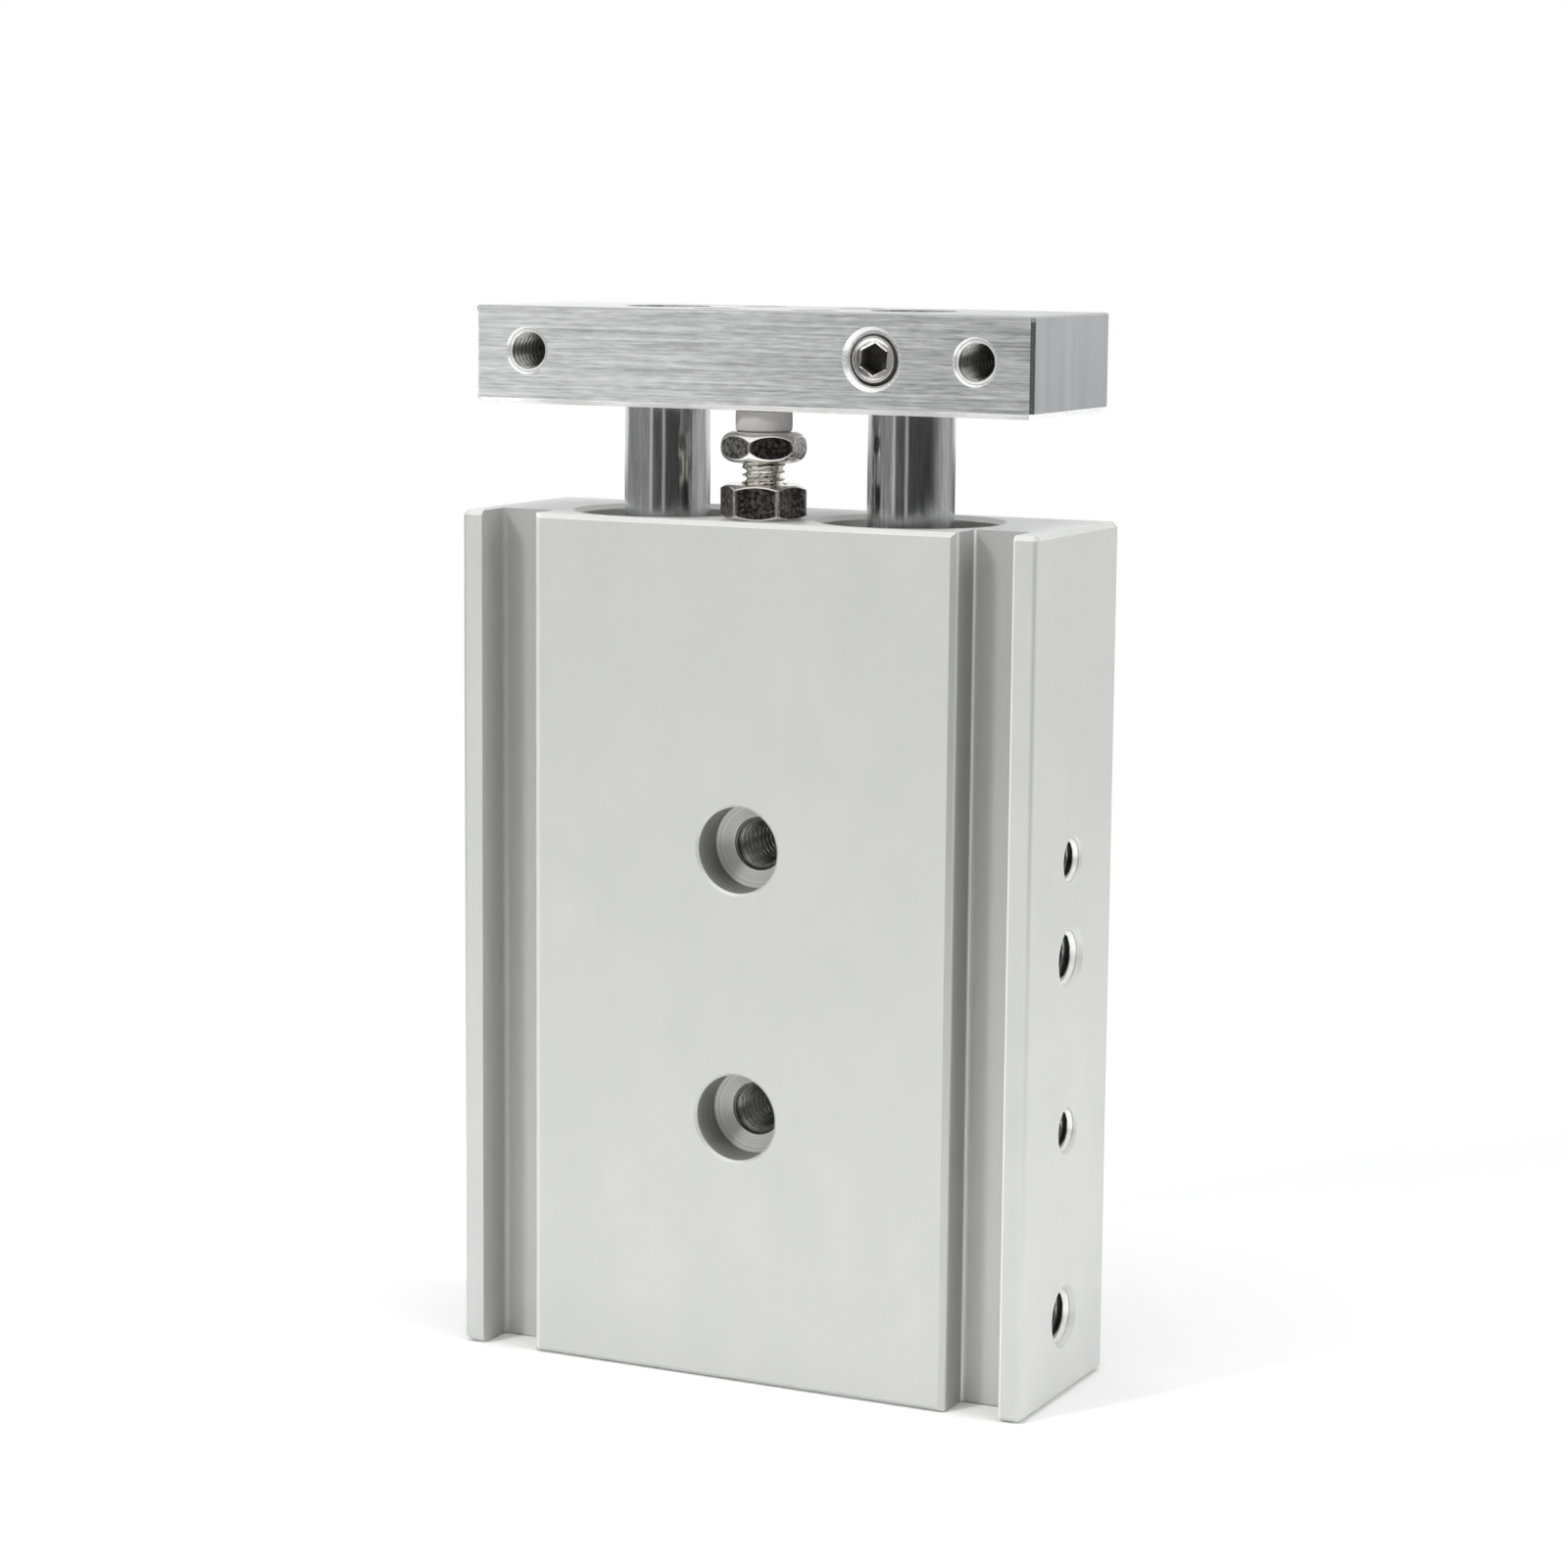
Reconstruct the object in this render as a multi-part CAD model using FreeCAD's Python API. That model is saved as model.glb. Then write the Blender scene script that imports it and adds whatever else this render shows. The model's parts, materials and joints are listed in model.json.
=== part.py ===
import FreeCAD, Part
import math
import os

# Compact twin-rod pneumatic cylinder, retracted, standing on its head end.
# Millimetres. Origin at the middle of the body's bottom end face, +Z along the rods towards the
# tool plate, -Y the front with the switch grooves, +X the side with the air ports.

# Body
body_width = 58.0
body_depth = 20.0
body_edge = 0.45
body_corner_extra = 0.3
flange_width = 2.2
groove_width = 5.5
groove_depth = 4.2
groove_corner = 0.5
plateau_edge = 0.5

# Bores, rods and what seals them
stroke = 20.0
rod_pitch = 25.0
bore_d = 15.0
rod_d = 8.0
seat_step = 0.9
mouth_edge = 0.45
ring_recess = 1.2
ring_thickness = 1.0
ring_bite = 0.4
ring_width = 1.7
ring_taper = 0.35
ring_gap_deg = 34.0
ring_eye_d = 1.0
ring_lug_d = 2.7
head_flange = 1.7
head_spigot = 2.1
head_dish_depth = 0.6
head_dish_wall = 3.0
cover_length = 37.0
cover_flange = 3.6
cover_inset = 0.5
bearing_land = 8.0
relief_depth = 0.25
seal_pocket = 3.0
rod_seal_width = 2.1
retainer_height = 1.2
retainer_gap = 0.3
o_ring_section = 1.2
o_ring_squeeze = 0.15

# Pistons
piston_height = 11.0
piston_lift = 0.5
piston_edge = 0.4
seal_height = 2.6
seal_depth = 2.1
seal_lip = 0.55
seal_land = 1.6
magnet_height = 3.0
magnet_depth = 1.8
magnet_recess = 0.5
piston_bumper_height = 2.45
piston_bumper_d = 12.0
spigot_d = 6.0
spigot_length = 6.5

# Air ports on the right side, drilled straight through to the far bore
port_d = 5.0
port_depth = 5.5
port_edge = 0.45
passage_d = 3.0

# Mounting holes in the body
mount_z = 25.0
mount_pitch = 25.0
mount_thread_d = 5.0
mount_counterbore_d = 8.0
mount_counterbore_depth = 3.8
mount_edge = 0.25
side_thread_d = 4.0
side_thread_depth = 6.0
side_edge = 0.25

# Tool plate
plate_width = 56.0
plate_depth = 18.0
plate_height = 9.0
plate_upright_edge = 0.35
plate_low_edge = 0.5
plate_top_edge = 0.15
plate_hole_pitch = 45.0
plate_hole_height = 4.9
plate_hole_d = 4.0
plate_hole_edge = 0.2
tool_hole_pitch = 10.0
tool_hole_depth = 6.0
rod_socket_depth = 2.5
rod_end_drop = 0.4
rod_end_edge = 0.4

# Screws of the tool plate
cap_screw_d = 4.0
cap_head_d = 7.0
cap_head_height = 4.0
cap_head_edge = 0.35
cap_key = 3.0
cap_key_depth = 2.2
cap_length = 12.0
cap_counterbore_d = 8.0
cap_counterbore_depth = 4.4
cap_clearance_d = 4.5
set_screw_d = 5.0
set_screw_drop = 0.3
set_screw_edge = 0.35
set_screw_key = 2.5
set_screw_key_depth = 2.0
set_screw_mouth = 0.4
rod_flat_depth = 0.4
rod_flat_margin = 0.8
piston_screw_d = 4.0
piston_screw_head_d = 7.4
piston_screw_length = 11.0
piston_screw_key = 2.5
piston_screw_key_depth = 1.6

# Stop bolt between the rods, its lock nut and its bumper
stop_front = 5.0
stop_thread_d = 4.0
stop_flats = 7.0
stop_head_height = 2.8
stop_head_land_d = 5.4
stop_head_turn = 37.0
stop_travel = 2.0
stop_bolt_length = 15.0
stop_bolt_edge = 0.5
stop_hole_spare = 3.0
stop_hole_edge = 0.3
nut_height = 3.2
nut_turn = 15.0
nut_face_d = 6.6
bumper_d = 5.2
bumper_height = 2.0
bumper_edge = 0.2
stem_d = 2.4
stem_length = 1.5

# Fits: radial play of a sliding piece, of a turning thread and of a piece that stays put,
# and the end play that keeps the pistons off their covers
slide_play = 0.04
thread_play = 0.05
seat_play = 0.02
stop_play = 0.05

# How far a cutting tool runs past the face it enters, and the half angle of a drill's point
overrun = 1.0
drill_half_angle = math.radians(59.0)
chamfer_angle = math.radians(30.0)

# Heights up the body, from the head end to the plate
rod_r = rod_d / 2
bore_r = bore_d / 2
seat_r = bore_r + seat_step
passage_r = passage_d / 2
head_cover_bottom = ring_recess + ring_thickness
head_shoulder = head_cover_bottom + head_flange
head_cover_top = head_shoulder + head_spigot
head_port_z = head_cover_top + passage_r
piston_bottom = head_port_z + passage_r + piston_lift
piston_top = piston_bottom + piston_height
piston_bumper_top = piston_top + piston_bumper_height
cover_bottom = piston_bumper_top + stroke + stop_play
rod_port_z = cover_bottom - cover_inset - passage_r
body_height = cover_bottom + cover_length
rod_ring_top = body_height - ring_recess
rod_ring_bottom = rod_ring_top - ring_thickness
cover_top = rod_ring_bottom - retainer_height
cover_shoulder = cover_top - cover_flange
nut_top = body_height + nut_height
stop_head_bottom = nut_top + stop_travel
stop_head_top = stop_head_bottom + stop_head_height
plate_bottom = stop_head_top + bumper_height
plate_top = plate_bottom + plate_height
plate_hole_z = plate_bottom + plate_hole_height

front = -body_depth / 2
plate_front = -plate_depth / 2
stop_y = -stop_front
sides = (("left", -rod_pitch / 2), ("right", rod_pitch / 2))
mount_heights = (mount_z, mount_z + mount_pitch)


def turned(profile):
    """Solid turned about Z from a closed outline of (radius, height) points."""
    points = [FreeCAD.Vector(r, 0, z) for r, z in profile]
    face = Part.Face(Part.makePolygon(points + points[:1]))
    return face.revolve(FreeCAD.Vector(), FreeCAD.Vector(0, 0, 1), 360)


def bar(diameter, low, high):
    """Plain round bar about Z between two heights."""
    return Part.makeCylinder(diameter / 2, high - low, FreeCAD.Vector(0, 0, low))


def hexagon(flats, low, high, turn_deg=0.0):
    """Hexagonal bar about Z; a turn of 0 has one flat facing -Y."""
    corner = flats / math.sqrt(3)
    angles = [math.radians(turn_deg + 60 * i) for i in range(6)]
    points = [FreeCAD.Vector(corner * math.cos(a), corner * math.sin(a), low) for a in angles]
    face = Part.Face(Part.makePolygon(points + points[:1]))
    return face.extrude(FreeCAD.Vector(0, 0, high - low))


def drilled(diameter, depth, edge=0.0):
    """Drill's cut down from a mouth at the origin: chamfered rim, straight wall, pointed floor."""
    r = diameter / 2
    point = r / math.tan(drill_half_angle)
    return turned([(0, overrun), (r + edge + overrun, overrun), (r, -edge), (r, -depth), (0, -depth - point)])


def facing(shape, mouth, outward):
    """Copy of a shape made about Z, turned so that +Z points outward and moved to its mouth."""
    turn = FreeCAD.Rotation(FreeCAD.Vector(0, 0, 1), FreeCAD.Vector(*outward))
    placed = shape.copy()
    placed.Placement = FreeCAD.Placement(FreeCAD.Vector(*mouth), turn)
    return placed


def moved(shape, x, y=0.0):
    """Copy of a shape moved sideways from the Z axis."""
    placed = shape.copy()
    placed.translate(FreeCAD.Vector(x, y, 0))
    return placed


def block(width, depth, low, high):
    """Plain block centred on Z between two heights."""
    return Part.makeBox(width, depth, high - low, FreeCAD.Vector(-width / 2, -depth / 2, low))


def body_blank():
    """Body before drilling: upright corners rounded a little more than its rims are chamfered."""
    box = block(body_width, body_depth, 0, body_height)
    upright = [e for e in box.Edges if e.BoundBox.ZLength > body_height / 2]
    rounded = box.makeFillet(body_edge + body_corner_extra, upright)
    rims = [e for e in rounded.Edges if e.BoundBox.ZLength < body_height / 2]
    return rounded.makeChamfer(body_edge, rims)


def groove_cut(side):
    """Switch groove along the whole body: channel with rounded corners, the plateau's edge broken."""
    outer = side * (body_width / 2 - flange_width)
    inner = outer - side * groove_width
    rim = inner - side * (plateau_edge + overrun)
    outline = [
        (outer, front - overrun),
        (outer, front + groove_depth),
        (inner, front + groove_depth),
        (inner, front + plateau_edge),
        (rim, front - overrun),
    ]
    points = [FreeCAD.Vector(x, y, -overrun) for x, y in outline]
    face = Part.Face(Part.makePolygon(points + points[:1]))
    channel = face.extrude(FreeCAD.Vector(0, 0, body_height + 2 * overrun))
    on_floor = [e for e in channel.Edges if e.BoundBox.YMin > front + groove_depth - groove_corner]
    corners = [e for e in on_floor if e.BoundBox.ZLength > body_height]
    return channel.makeFillet(groove_corner, corners)


def bore_cut():
    """One bore with a wider seat, ring groove and chamfered mouth at each end."""
    groove_r = seat_r + ring_bite
    mouth = seat_r + mouth_edge + overrun
    return turned([
        (0, -overrun),
        (mouth, -overrun),
        (seat_r, mouth_edge),
        (seat_r, ring_recess),
        (groove_r, ring_recess),
        (groove_r, head_cover_bottom),
        (seat_r, head_cover_bottom),
        (seat_r, head_shoulder),
        (bore_r, head_shoulder),
        (bore_r, cover_shoulder),
        (seat_r, cover_shoulder),
        (seat_r, rod_ring_bottom),
        (groove_r, rod_ring_bottom),
        (groove_r, rod_ring_top),
        (seat_r, rod_ring_top),
        (seat_r, body_height - mouth_edge),
        (mouth, body_height + overrun),
        (0, body_height + overrun),
    ])


def body():
    """Extruded aluminium body with both bores, the grooves and every drilled hole."""
    half_width = body_width / 2
    back = body_depth / 2
    shape = body_blank()
    cuts = [groove_cut(-1), groove_cut(1)]
    cuts += [moved(bore_cut(), x) for _, x in sides]
    counterbore = drilled(mount_counterbore_d, mount_counterbore_depth, mount_edge)
    through = bar(mount_thread_d, -back, back)
    side_thread = drilled(side_thread_d, side_thread_depth, side_edge)
    for z in mount_heights:
        cuts.append(facing(counterbore, (0, front, z), (0, -1, 0)))
        cuts.append(facing(counterbore, (0, back, z), (0, 1, 0)))
        cuts.append(facing(through, (0, 0, z), (0, -1, 0)))
        cuts.append(facing(side_thread, (-half_width, 0, z), (-1, 0, 0)))
        cuts.append(facing(side_thread, (half_width, 0, z), (1, 0, 0)))
    port = drilled(port_d, port_depth, port_edge)
    passage = bar(passage_d, -half_width - rod_pitch / 2, -port_depth)
    for z in (head_port_z, rod_port_z):
        cuts.append(facing(port, (half_width, 0, z), (1, 0, 0)))
        cuts.append(facing(passage, (half_width, 0, z), (1, 0, 0)))
    stop_depth = stop_bolt_length - nut_height + stop_hole_spare
    stop_hole = drilled(stop_thread_d + 2 * thread_play, stop_depth, stop_hole_edge)
    cuts.append(facing(stop_hole, (0, stop_y, body_height), (0, 0, 1)))
    return shape.cut(cuts)


def retaining_ring(low):
    """Internal spring ring: tapered towards its gap, with an eye in a lug at each end."""
    outer_r = seat_r + ring_bite - seat_play
    inner_r = outer_r - ring_width + ring_taper
    shift = FreeCAD.Vector(ring_taper, 0, low)
    ring = Part.makeCylinder(outer_r, ring_thickness, FreeCAD.Vector(0, 0, low))
    ring = ring.cut(Part.makeCylinder(inner_r, ring_thickness, shift))
    half_gap = math.radians(ring_gap_deg / 2)
    lug_r = outer_r - ring_bite - ring_lug_d / 2
    lug_angle = half_gap + math.asin(ring_lug_d / 2 / lug_r)
    reach = 2 * outer_r
    wedge = [
        FreeCAD.Vector(0, 0, low),
        FreeCAD.Vector(reach, -reach * math.tan(half_gap), low),
        FreeCAD.Vector(reach, reach * math.tan(half_gap), low),
    ]
    gap = Part.Face(Part.makePolygon(wedge + wedge[:1])).extrude(FreeCAD.Vector(0, 0, ring_thickness))
    ring = ring.cut(gap)
    for way in (-1, 1):
        centre = FreeCAD.Vector(lug_r * math.cos(lug_angle), way * lug_r * math.sin(lug_angle), low)
        ring = ring.fuse(Part.makeCylinder(ring_lug_d / 2, ring_thickness, centre))
        ring = ring.cut(Part.makeCylinder(ring_eye_d / 2, ring_thickness, centre))
    return ring.removeSplitter().Solids[0]


def o_ring(wall_r, low):
    """O-ring squeezed between its groove's floor and the wall around it, its round sides in flats."""
    half = o_ring_section / 2
    outer = wall_r - seat_play
    inner = outer - o_ring_section + 2 * o_ring_squeeze
    contact = half * math.sqrt(1 - (1 - 2 * o_ring_squeeze / o_ring_section) ** 2)
    crown = (outer - inner) / 4
    middle = low + half
    return turned([
        (outer, middle - contact),
        (outer, middle + contact),
        (outer - crown, middle + half),
        (inner + crown, middle + half),
        (inner, middle + contact),
        (inner, middle - contact),
        (inner + crown, middle - half),
        (outer - crown, middle - half),
    ])


def o_ring_floor(wall_r):
    """Radius of the groove's floor under an O-ring that seals against a wall."""
    return wall_r - seat_play - o_ring_section + 2 * o_ring_squeeze - seat_play


def head_cover():
    """Turned aluminium disc that closes a bore at the head end."""
    flange_r = seat_r - seat_play
    spigot_r = bore_r - seat_play
    dish_r = flange_r - head_dish_wall
    groove_low = head_shoulder + (head_spigot - o_ring_section) / 2
    groove_high = groove_low + o_ring_section
    floor_r = o_ring_floor(bore_r)
    return turned([
        (0, head_cover_bottom + head_dish_depth),
        (dish_r, head_cover_bottom + head_dish_depth),
        (dish_r, head_cover_bottom),
        (flange_r, head_cover_bottom),
        (flange_r, head_shoulder),
        (spigot_r, head_shoulder),
        (spigot_r, groove_low),
        (floor_r, groove_low),
        (floor_r, groove_high),
        (spigot_r, groove_high),
        (spigot_r, head_cover_top),
        (0, head_cover_top),
    ])


def rod_cover():
    """Long bearing bush that closes a bore at the rod end and guides its rod."""
    flange_r = seat_r - seat_play
    spigot_r = bore_r - seat_play
    bearing_r = rod_r + slide_play
    relief_r = bearing_r + relief_depth
    pocket_r = (rod_r + flange_r) / 2
    pocket_low = cover_top - seal_pocket
    groove_high = cover_shoulder - o_ring_section
    groove_low = groove_high - o_ring_section
    floor_r = o_ring_floor(bore_r)
    return turned([
        (bearing_r, cover_bottom),
        (spigot_r - cover_inset, cover_bottom),
        (spigot_r, cover_bottom + cover_inset),
        (spigot_r, groove_low),
        (floor_r, groove_low),
        (floor_r, groove_high),
        (spigot_r, groove_high),
        (spigot_r, cover_shoulder),
        (flange_r, cover_shoulder),
        (flange_r, cover_top),
        (pocket_r, cover_top),
        (pocket_r, pocket_low),
        (bearing_r, pocket_low),
        (bearing_r, pocket_low - bearing_land),
        (relief_r, pocket_low - bearing_land),
        (relief_r, cover_bottom + bearing_land),
        (bearing_r, cover_bottom + bearing_land),
    ])


def rod_seal():
    """Lip seal in the rod cover's pocket, its notch towards the air pressure."""
    outer = (rod_r + seat_r - seat_play) / 2 - seat_play
    lip = rod_r + slide_play
    middle = (outer + lip) / 2
    low = cover_top - seal_pocket
    return turned([
        (lip, low),
        (middle, low + rod_seal_width / 2),
        (outer, low),
        (outer, low + seal_pocket),
        (lip + retainer_gap, low + seal_pocket),
        (lip + retainer_gap, low + rod_seal_width),
        (lip, low + rod_seal_width / 2),
    ])


def seal_retainer():
    """Flat aluminium ring that keeps the seal in its pocket."""
    inner = rod_r + retainer_gap
    outer = seat_r - seat_play
    return turned([
        (inner, cover_top),
        (outer, cover_top),
        (outer, rod_ring_bottom),
        (inner, rod_ring_bottom),
    ])


def piston():
    """Turned aluminium piston: seal groove below, stepped seat for the magnet on top."""
    outer = bore_r - slide_play
    seal_low = piston_bottom + seal_land
    seal_high = seal_low + seal_height
    magnet_low = piston_top - magnet_height
    magnet_seat = outer - magnet_depth
    pocket_r = spigot_d / 2 + seat_play
    pocket_low = piston_top - spigot_length - seat_play
    screw_r = piston_screw_d / 2 + thread_play
    head_r = piston_screw_head_d / 2 + seat_play
    return turned([
        (head_r, piston_bottom),
        (outer - piston_edge, piston_bottom),
        (outer, piston_bottom + piston_edge),
        (outer, seal_low),
        (outer - seal_depth, seal_low),
        (outer - seal_depth, seal_high),
        (outer, seal_high),
        (outer, magnet_low),
        (magnet_seat, magnet_low),
        (magnet_seat, piston_top),
        (pocket_r, piston_top),
        (pocket_r, pocket_low),
        (screw_r, pocket_low),
        (screw_r, piston_bottom + head_r - screw_r),
    ])


def piston_seal():
    """Two-lipped seal around the piston."""
    inner = bore_r - slide_play - seal_depth + seat_play
    outer = bore_r - slide_play
    low = piston_bottom + seal_land
    return turned([
        (inner, low),
        (outer, low),
        (outer - seal_lip, low + seal_height / 2),
        (outer, low + seal_height),
        (inner, low + seal_height),
    ])


def magnet():
    """Ring magnet on the piston's step, read by the switches in the body's grooves."""
    inner = bore_r - slide_play - magnet_depth + seat_play
    outer = bore_r - magnet_recess
    low = piston_top - magnet_height
    return turned([(inner, low), (outer, low), (outer, piston_top), (inner, piston_top)])


def piston_bumper():
    """Soft ring on the piston that ends the outward stroke against the rod cover."""
    inner = rod_r + seat_play
    outer = piston_bumper_d / 2
    return turned([
        (inner, piston_top),
        (outer, piston_top),
        (outer, piston_bumper_top - piston_edge),
        (outer - piston_edge, piston_bumper_top),
        (inner, piston_bumper_top),
    ])


def piston_screw():
    """Countersunk screw that pulls the piston onto the rod's shoulder."""
    head_r = piston_screw_head_d / 2
    shank_r = piston_screw_d / 2 - seat_play
    top = piston_bottom + piston_screw_length
    shape = turned([
        (0, piston_bottom),
        (head_r, piston_bottom),
        (shank_r, piston_bottom + head_r - shank_r),
        (shank_r, top),
        (0, top),
    ])
    return shape.cut(hexagon(piston_screw_key, piston_bottom, piston_bottom + piston_screw_key_depth))


def rod_blank(top):
    """Chromed rod with a spigot for the piston and a tapped hole for the piston's screw."""
    low = piston_top - spigot_length
    shape = turned([
        (0, low),
        (spigot_d / 2, low),
        (spigot_d / 2, piston_top),
        (rod_r, piston_top),
        (rod_r, top - rod_end_edge),
        (rod_r - rod_end_edge, top),
        (0, top),
    ])
    thread = drilled(piston_screw_d, piston_bottom + piston_screw_length - low + overrun)
    return shape.cut(facing(thread, (0, 0, low), (0, 0, -1)))


def left_piston_rod():
    """Rod held in a socket of the plate by the cap screw in its end."""
    top = plate_bottom + rod_socket_depth
    depth = cap_length - (plate_height - cap_counterbore_depth - rod_socket_depth) + overrun
    thread = drilled(cap_screw_d, depth)
    return rod_blank(top).cut(facing(thread, (0, 0, top), (0, 0, 1)))


def right_piston_rod():
    """Rod that passes through the plate, with a flat for the set screw."""
    low = plate_bottom + rod_flat_margin
    flat_y = -rod_r + rod_flat_depth
    corner = FreeCAD.Vector(-rod_r, flat_y - rod_r, low)
    flat = Part.makeBox(rod_d, rod_r, plate_height - rod_flat_margin, corner)
    return rod_blank(plate_top - rod_end_drop).cut(flat)


def plate_blank():
    """Plate before drilling: its lower rim broken most, its upper rim just deburred."""
    shape = block(plate_width, plate_depth, plate_bottom, plate_top)
    upright = [e for e in shape.Edges if e.BoundBox.ZLength > plate_height / 2]
    shape = shape.makeChamfer(plate_upright_edge, upright)
    middle = (plate_bottom + plate_top) / 2
    shape = shape.makeChamfer(plate_low_edge, [e for e in shape.Edges if e.BoundBox.ZMax < middle])
    return shape.makeChamfer(plate_top_edge, [e for e in shape.Edges if e.BoundBox.ZMin > middle])


def tool_plate():
    """Brushed aluminium bar across both rods, drilled for its screws and for tools."""
    left_x, right_x = (x for _, x in sides)
    shape = plate_blank()
    socket = bar(rod_d + 2 * seat_play, plate_bottom - overrun, plate_bottom + rod_socket_depth)
    clearance = bar(cap_clearance_d, plate_bottom, plate_top)
    counterbore = bar(cap_counterbore_d, plate_top - cap_counterbore_depth, plate_top + overrun)
    cuts = [moved(tool, left_x) for tool in (socket, clearance, counterbore)]
    cuts.append(moved(bar(rod_d + 2 * seat_play, plate_bottom - overrun, plate_top + overrun), right_x))
    clamp = drilled(set_screw_d, plate_depth / 2, set_screw_mouth)
    cuts.append(facing(clamp, (right_x, plate_front, plate_hole_z), (0, -1, 0)))
    cross = drilled(plate_hole_d, plate_depth, plate_hole_edge)
    for x in (-plate_hole_pitch / 2, plate_hole_pitch / 2):
        cuts.append(facing(cross, (x, plate_front, plate_hole_z), (0, -1, 0)))
        cuts.append(facing(cross, (x, -plate_front, plate_hole_z), (0, 1, 0)))
    tool_hole = drilled(plate_hole_d, tool_hole_depth, plate_hole_edge)
    for x in (-tool_hole_pitch / 2, tool_hole_pitch / 2):
        for y in (-tool_hole_pitch / 2, tool_hole_pitch / 2):
            cuts.append(facing(tool_hole, (x, y, plate_top), (0, 0, 1)))
    return shape.cut(cuts)


def cap_screw():
    """Socket head screw from the plate's top into the left rod."""
    seat = plate_top - cap_counterbore_depth
    head_top = seat + cap_head_height
    shank_r = cap_screw_d / 2 - seat_play
    shape = turned([
        (0, seat - cap_length),
        (shank_r, seat - cap_length),
        (shank_r, seat),
        (cap_head_d / 2, seat),
        (cap_head_d / 2, head_top - cap_head_edge),
        (cap_head_d / 2 - cap_head_edge, head_top),
        (0, head_top),
    ])
    return shape.cut(hexagon(cap_key, head_top - cap_key_depth, head_top))


def set_screw():
    """Headless socket screw in the plate's front that clamps the right rod."""
    length = plate_depth / 2 - set_screw_drop - (rod_r - rod_flat_depth)
    r = set_screw_d / 2 - seat_play
    shape = turned([
        (0, -length),
        (r - set_screw_edge, -length),
        (r, -length + set_screw_edge),
        (r, -set_screw_edge),
        (r - set_screw_edge, 0),
        (0, 0),
    ])
    shape = shape.cut(hexagon(set_screw_key, -set_screw_key_depth, 0))
    return facing(shape, (rod_pitch / 2, plate_front + set_screw_drop, plate_hole_z), (0, -1, 0))


def lock_nut():
    """Hexagon nut, chamfered on both faces, that locks the stop bolt."""
    corner = stop_flats / math.sqrt(3)
    face_r = nut_face_d / 2
    edge = (corner - face_r) * math.tan(chamfer_angle)
    hole_r = stop_thread_d / 2 + thread_play
    envelope = turned([
        (hole_r, body_height + edge),
        (hole_r + edge, body_height),
        (face_r, body_height),
        (corner, body_height + edge),
        (corner, nut_top - edge),
        (face_r, nut_top),
        (hole_r + edge, nut_top),
        (hole_r, nut_top - edge),
    ])
    return envelope.common(hexagon(stop_flats, body_height, nut_top, nut_turn))


def stop_bolt():
    """Hexagon bolt with a domed head that sets where the plate stops."""
    corner = stop_flats / math.sqrt(3)
    land_r = stop_head_land_d / 2
    middle = (stop_head_bottom + stop_head_top) / 2
    low = FreeCAD.Vector(land_r, 0, stop_head_bottom)
    high = FreeCAD.Vector(land_r, 0, stop_head_top)
    barrel = Part.Wire([
        Part.Arc(low, FreeCAD.Vector(corner, 0, middle), high).toShape(),
        Part.makeLine(high, FreeCAD.Vector(0, 0, stop_head_top)),
        Part.makeLine(FreeCAD.Vector(0, 0, stop_head_top), FreeCAD.Vector(0, 0, stop_head_bottom)),
        Part.makeLine(FreeCAD.Vector(0, 0, stop_head_bottom), low),
    ])
    envelope = Part.Face(barrel).revolve(FreeCAD.Vector(), FreeCAD.Vector(0, 0, 1), 360)
    head = envelope.common(hexagon(stop_flats, stop_head_bottom, stop_head_top, stop_head_turn))
    shank_r = stop_thread_d / 2
    end = stop_head_bottom - stop_bolt_length
    shank = turned([
        (0, end),
        (shank_r - stop_bolt_edge, end),
        (shank_r, end + stop_bolt_edge),
        (shank_r, stop_head_bottom),
        (0, stop_head_bottom),
    ])
    stem_hole = bar(stem_d + 2 * thread_play, stop_head_top - stem_length - thread_play, stop_head_top)
    return head.fuse(shank).cut(stem_hole).removeSplitter().Solids[0]


def stop_bumper():
    """Polyurethane pad on the bolt's head, held by its stem, that the plate lands on."""
    r = bumper_d / 2
    return turned([
        (0, stop_head_top - stem_length),
        (stem_d / 2, stop_head_top - stem_length),
        (stem_d / 2, stop_head_top),
        (r, stop_head_top),
        (r, plate_bottom - bumper_edge),
        (r - bumper_edge, plate_bottom),
        (0, plate_bottom),
    ])


head_o_ring_low = head_shoulder + (head_spigot - o_ring_section) / 2
rod_o_ring_low = cover_shoulder - 2 * o_ring_section
each_bore = {
    "head_end_ring": retaining_ring(ring_recess),
    "head_cover": head_cover(),
    "head_cover_o_ring": o_ring(bore_r, head_o_ring_low),
    "rod_cover": rod_cover(),
    "rod_cover_o_ring": o_ring(bore_r, rod_o_ring_low),
    "rod_seal": rod_seal(),
    "seal_retainer": seal_retainer(),
    "rod_end_ring": retaining_ring(rod_ring_bottom),
    "piston": piston(),
    "piston_seal": piston_seal(),
    "piston_magnet": magnet(),
    "piston_bumper": piston_bumper(),
    "piston_screw": piston_screw(),
}
nodes = {
    "body": body(),
    "tool_plate": tool_plate(),
    "rod_cap_screw": moved(cap_screw(), -rod_pitch / 2),
    "rod_set_screw": set_screw(),
    "left_piston_rod": moved(left_piston_rod(), -rod_pitch / 2),
    "right_piston_rod": moved(right_piston_rod(), rod_pitch / 2),
    "lock_nut": moved(lock_nut(), 0, stop_y),
    "stop_bolt": moved(stop_bolt(), 0, stop_y),
    "stop_bumper": moved(stop_bumper(), 0, stop_y),
}
for side, x in sides:
    for name, shape in each_bore.items():
        nodes[side + "_" + name] = moved(shape, x)

os.makedirs("parts", exist_ok=True)
for name, shape in nodes.items():
    shape.exportStep("parts/" + name + ".step")
print(len(nodes), "pieces, body", body_height, "high, plate top at", plate_top)
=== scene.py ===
import json
import math

import bpy
import numpy as np
from mathutils import Matrix, Vector


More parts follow.
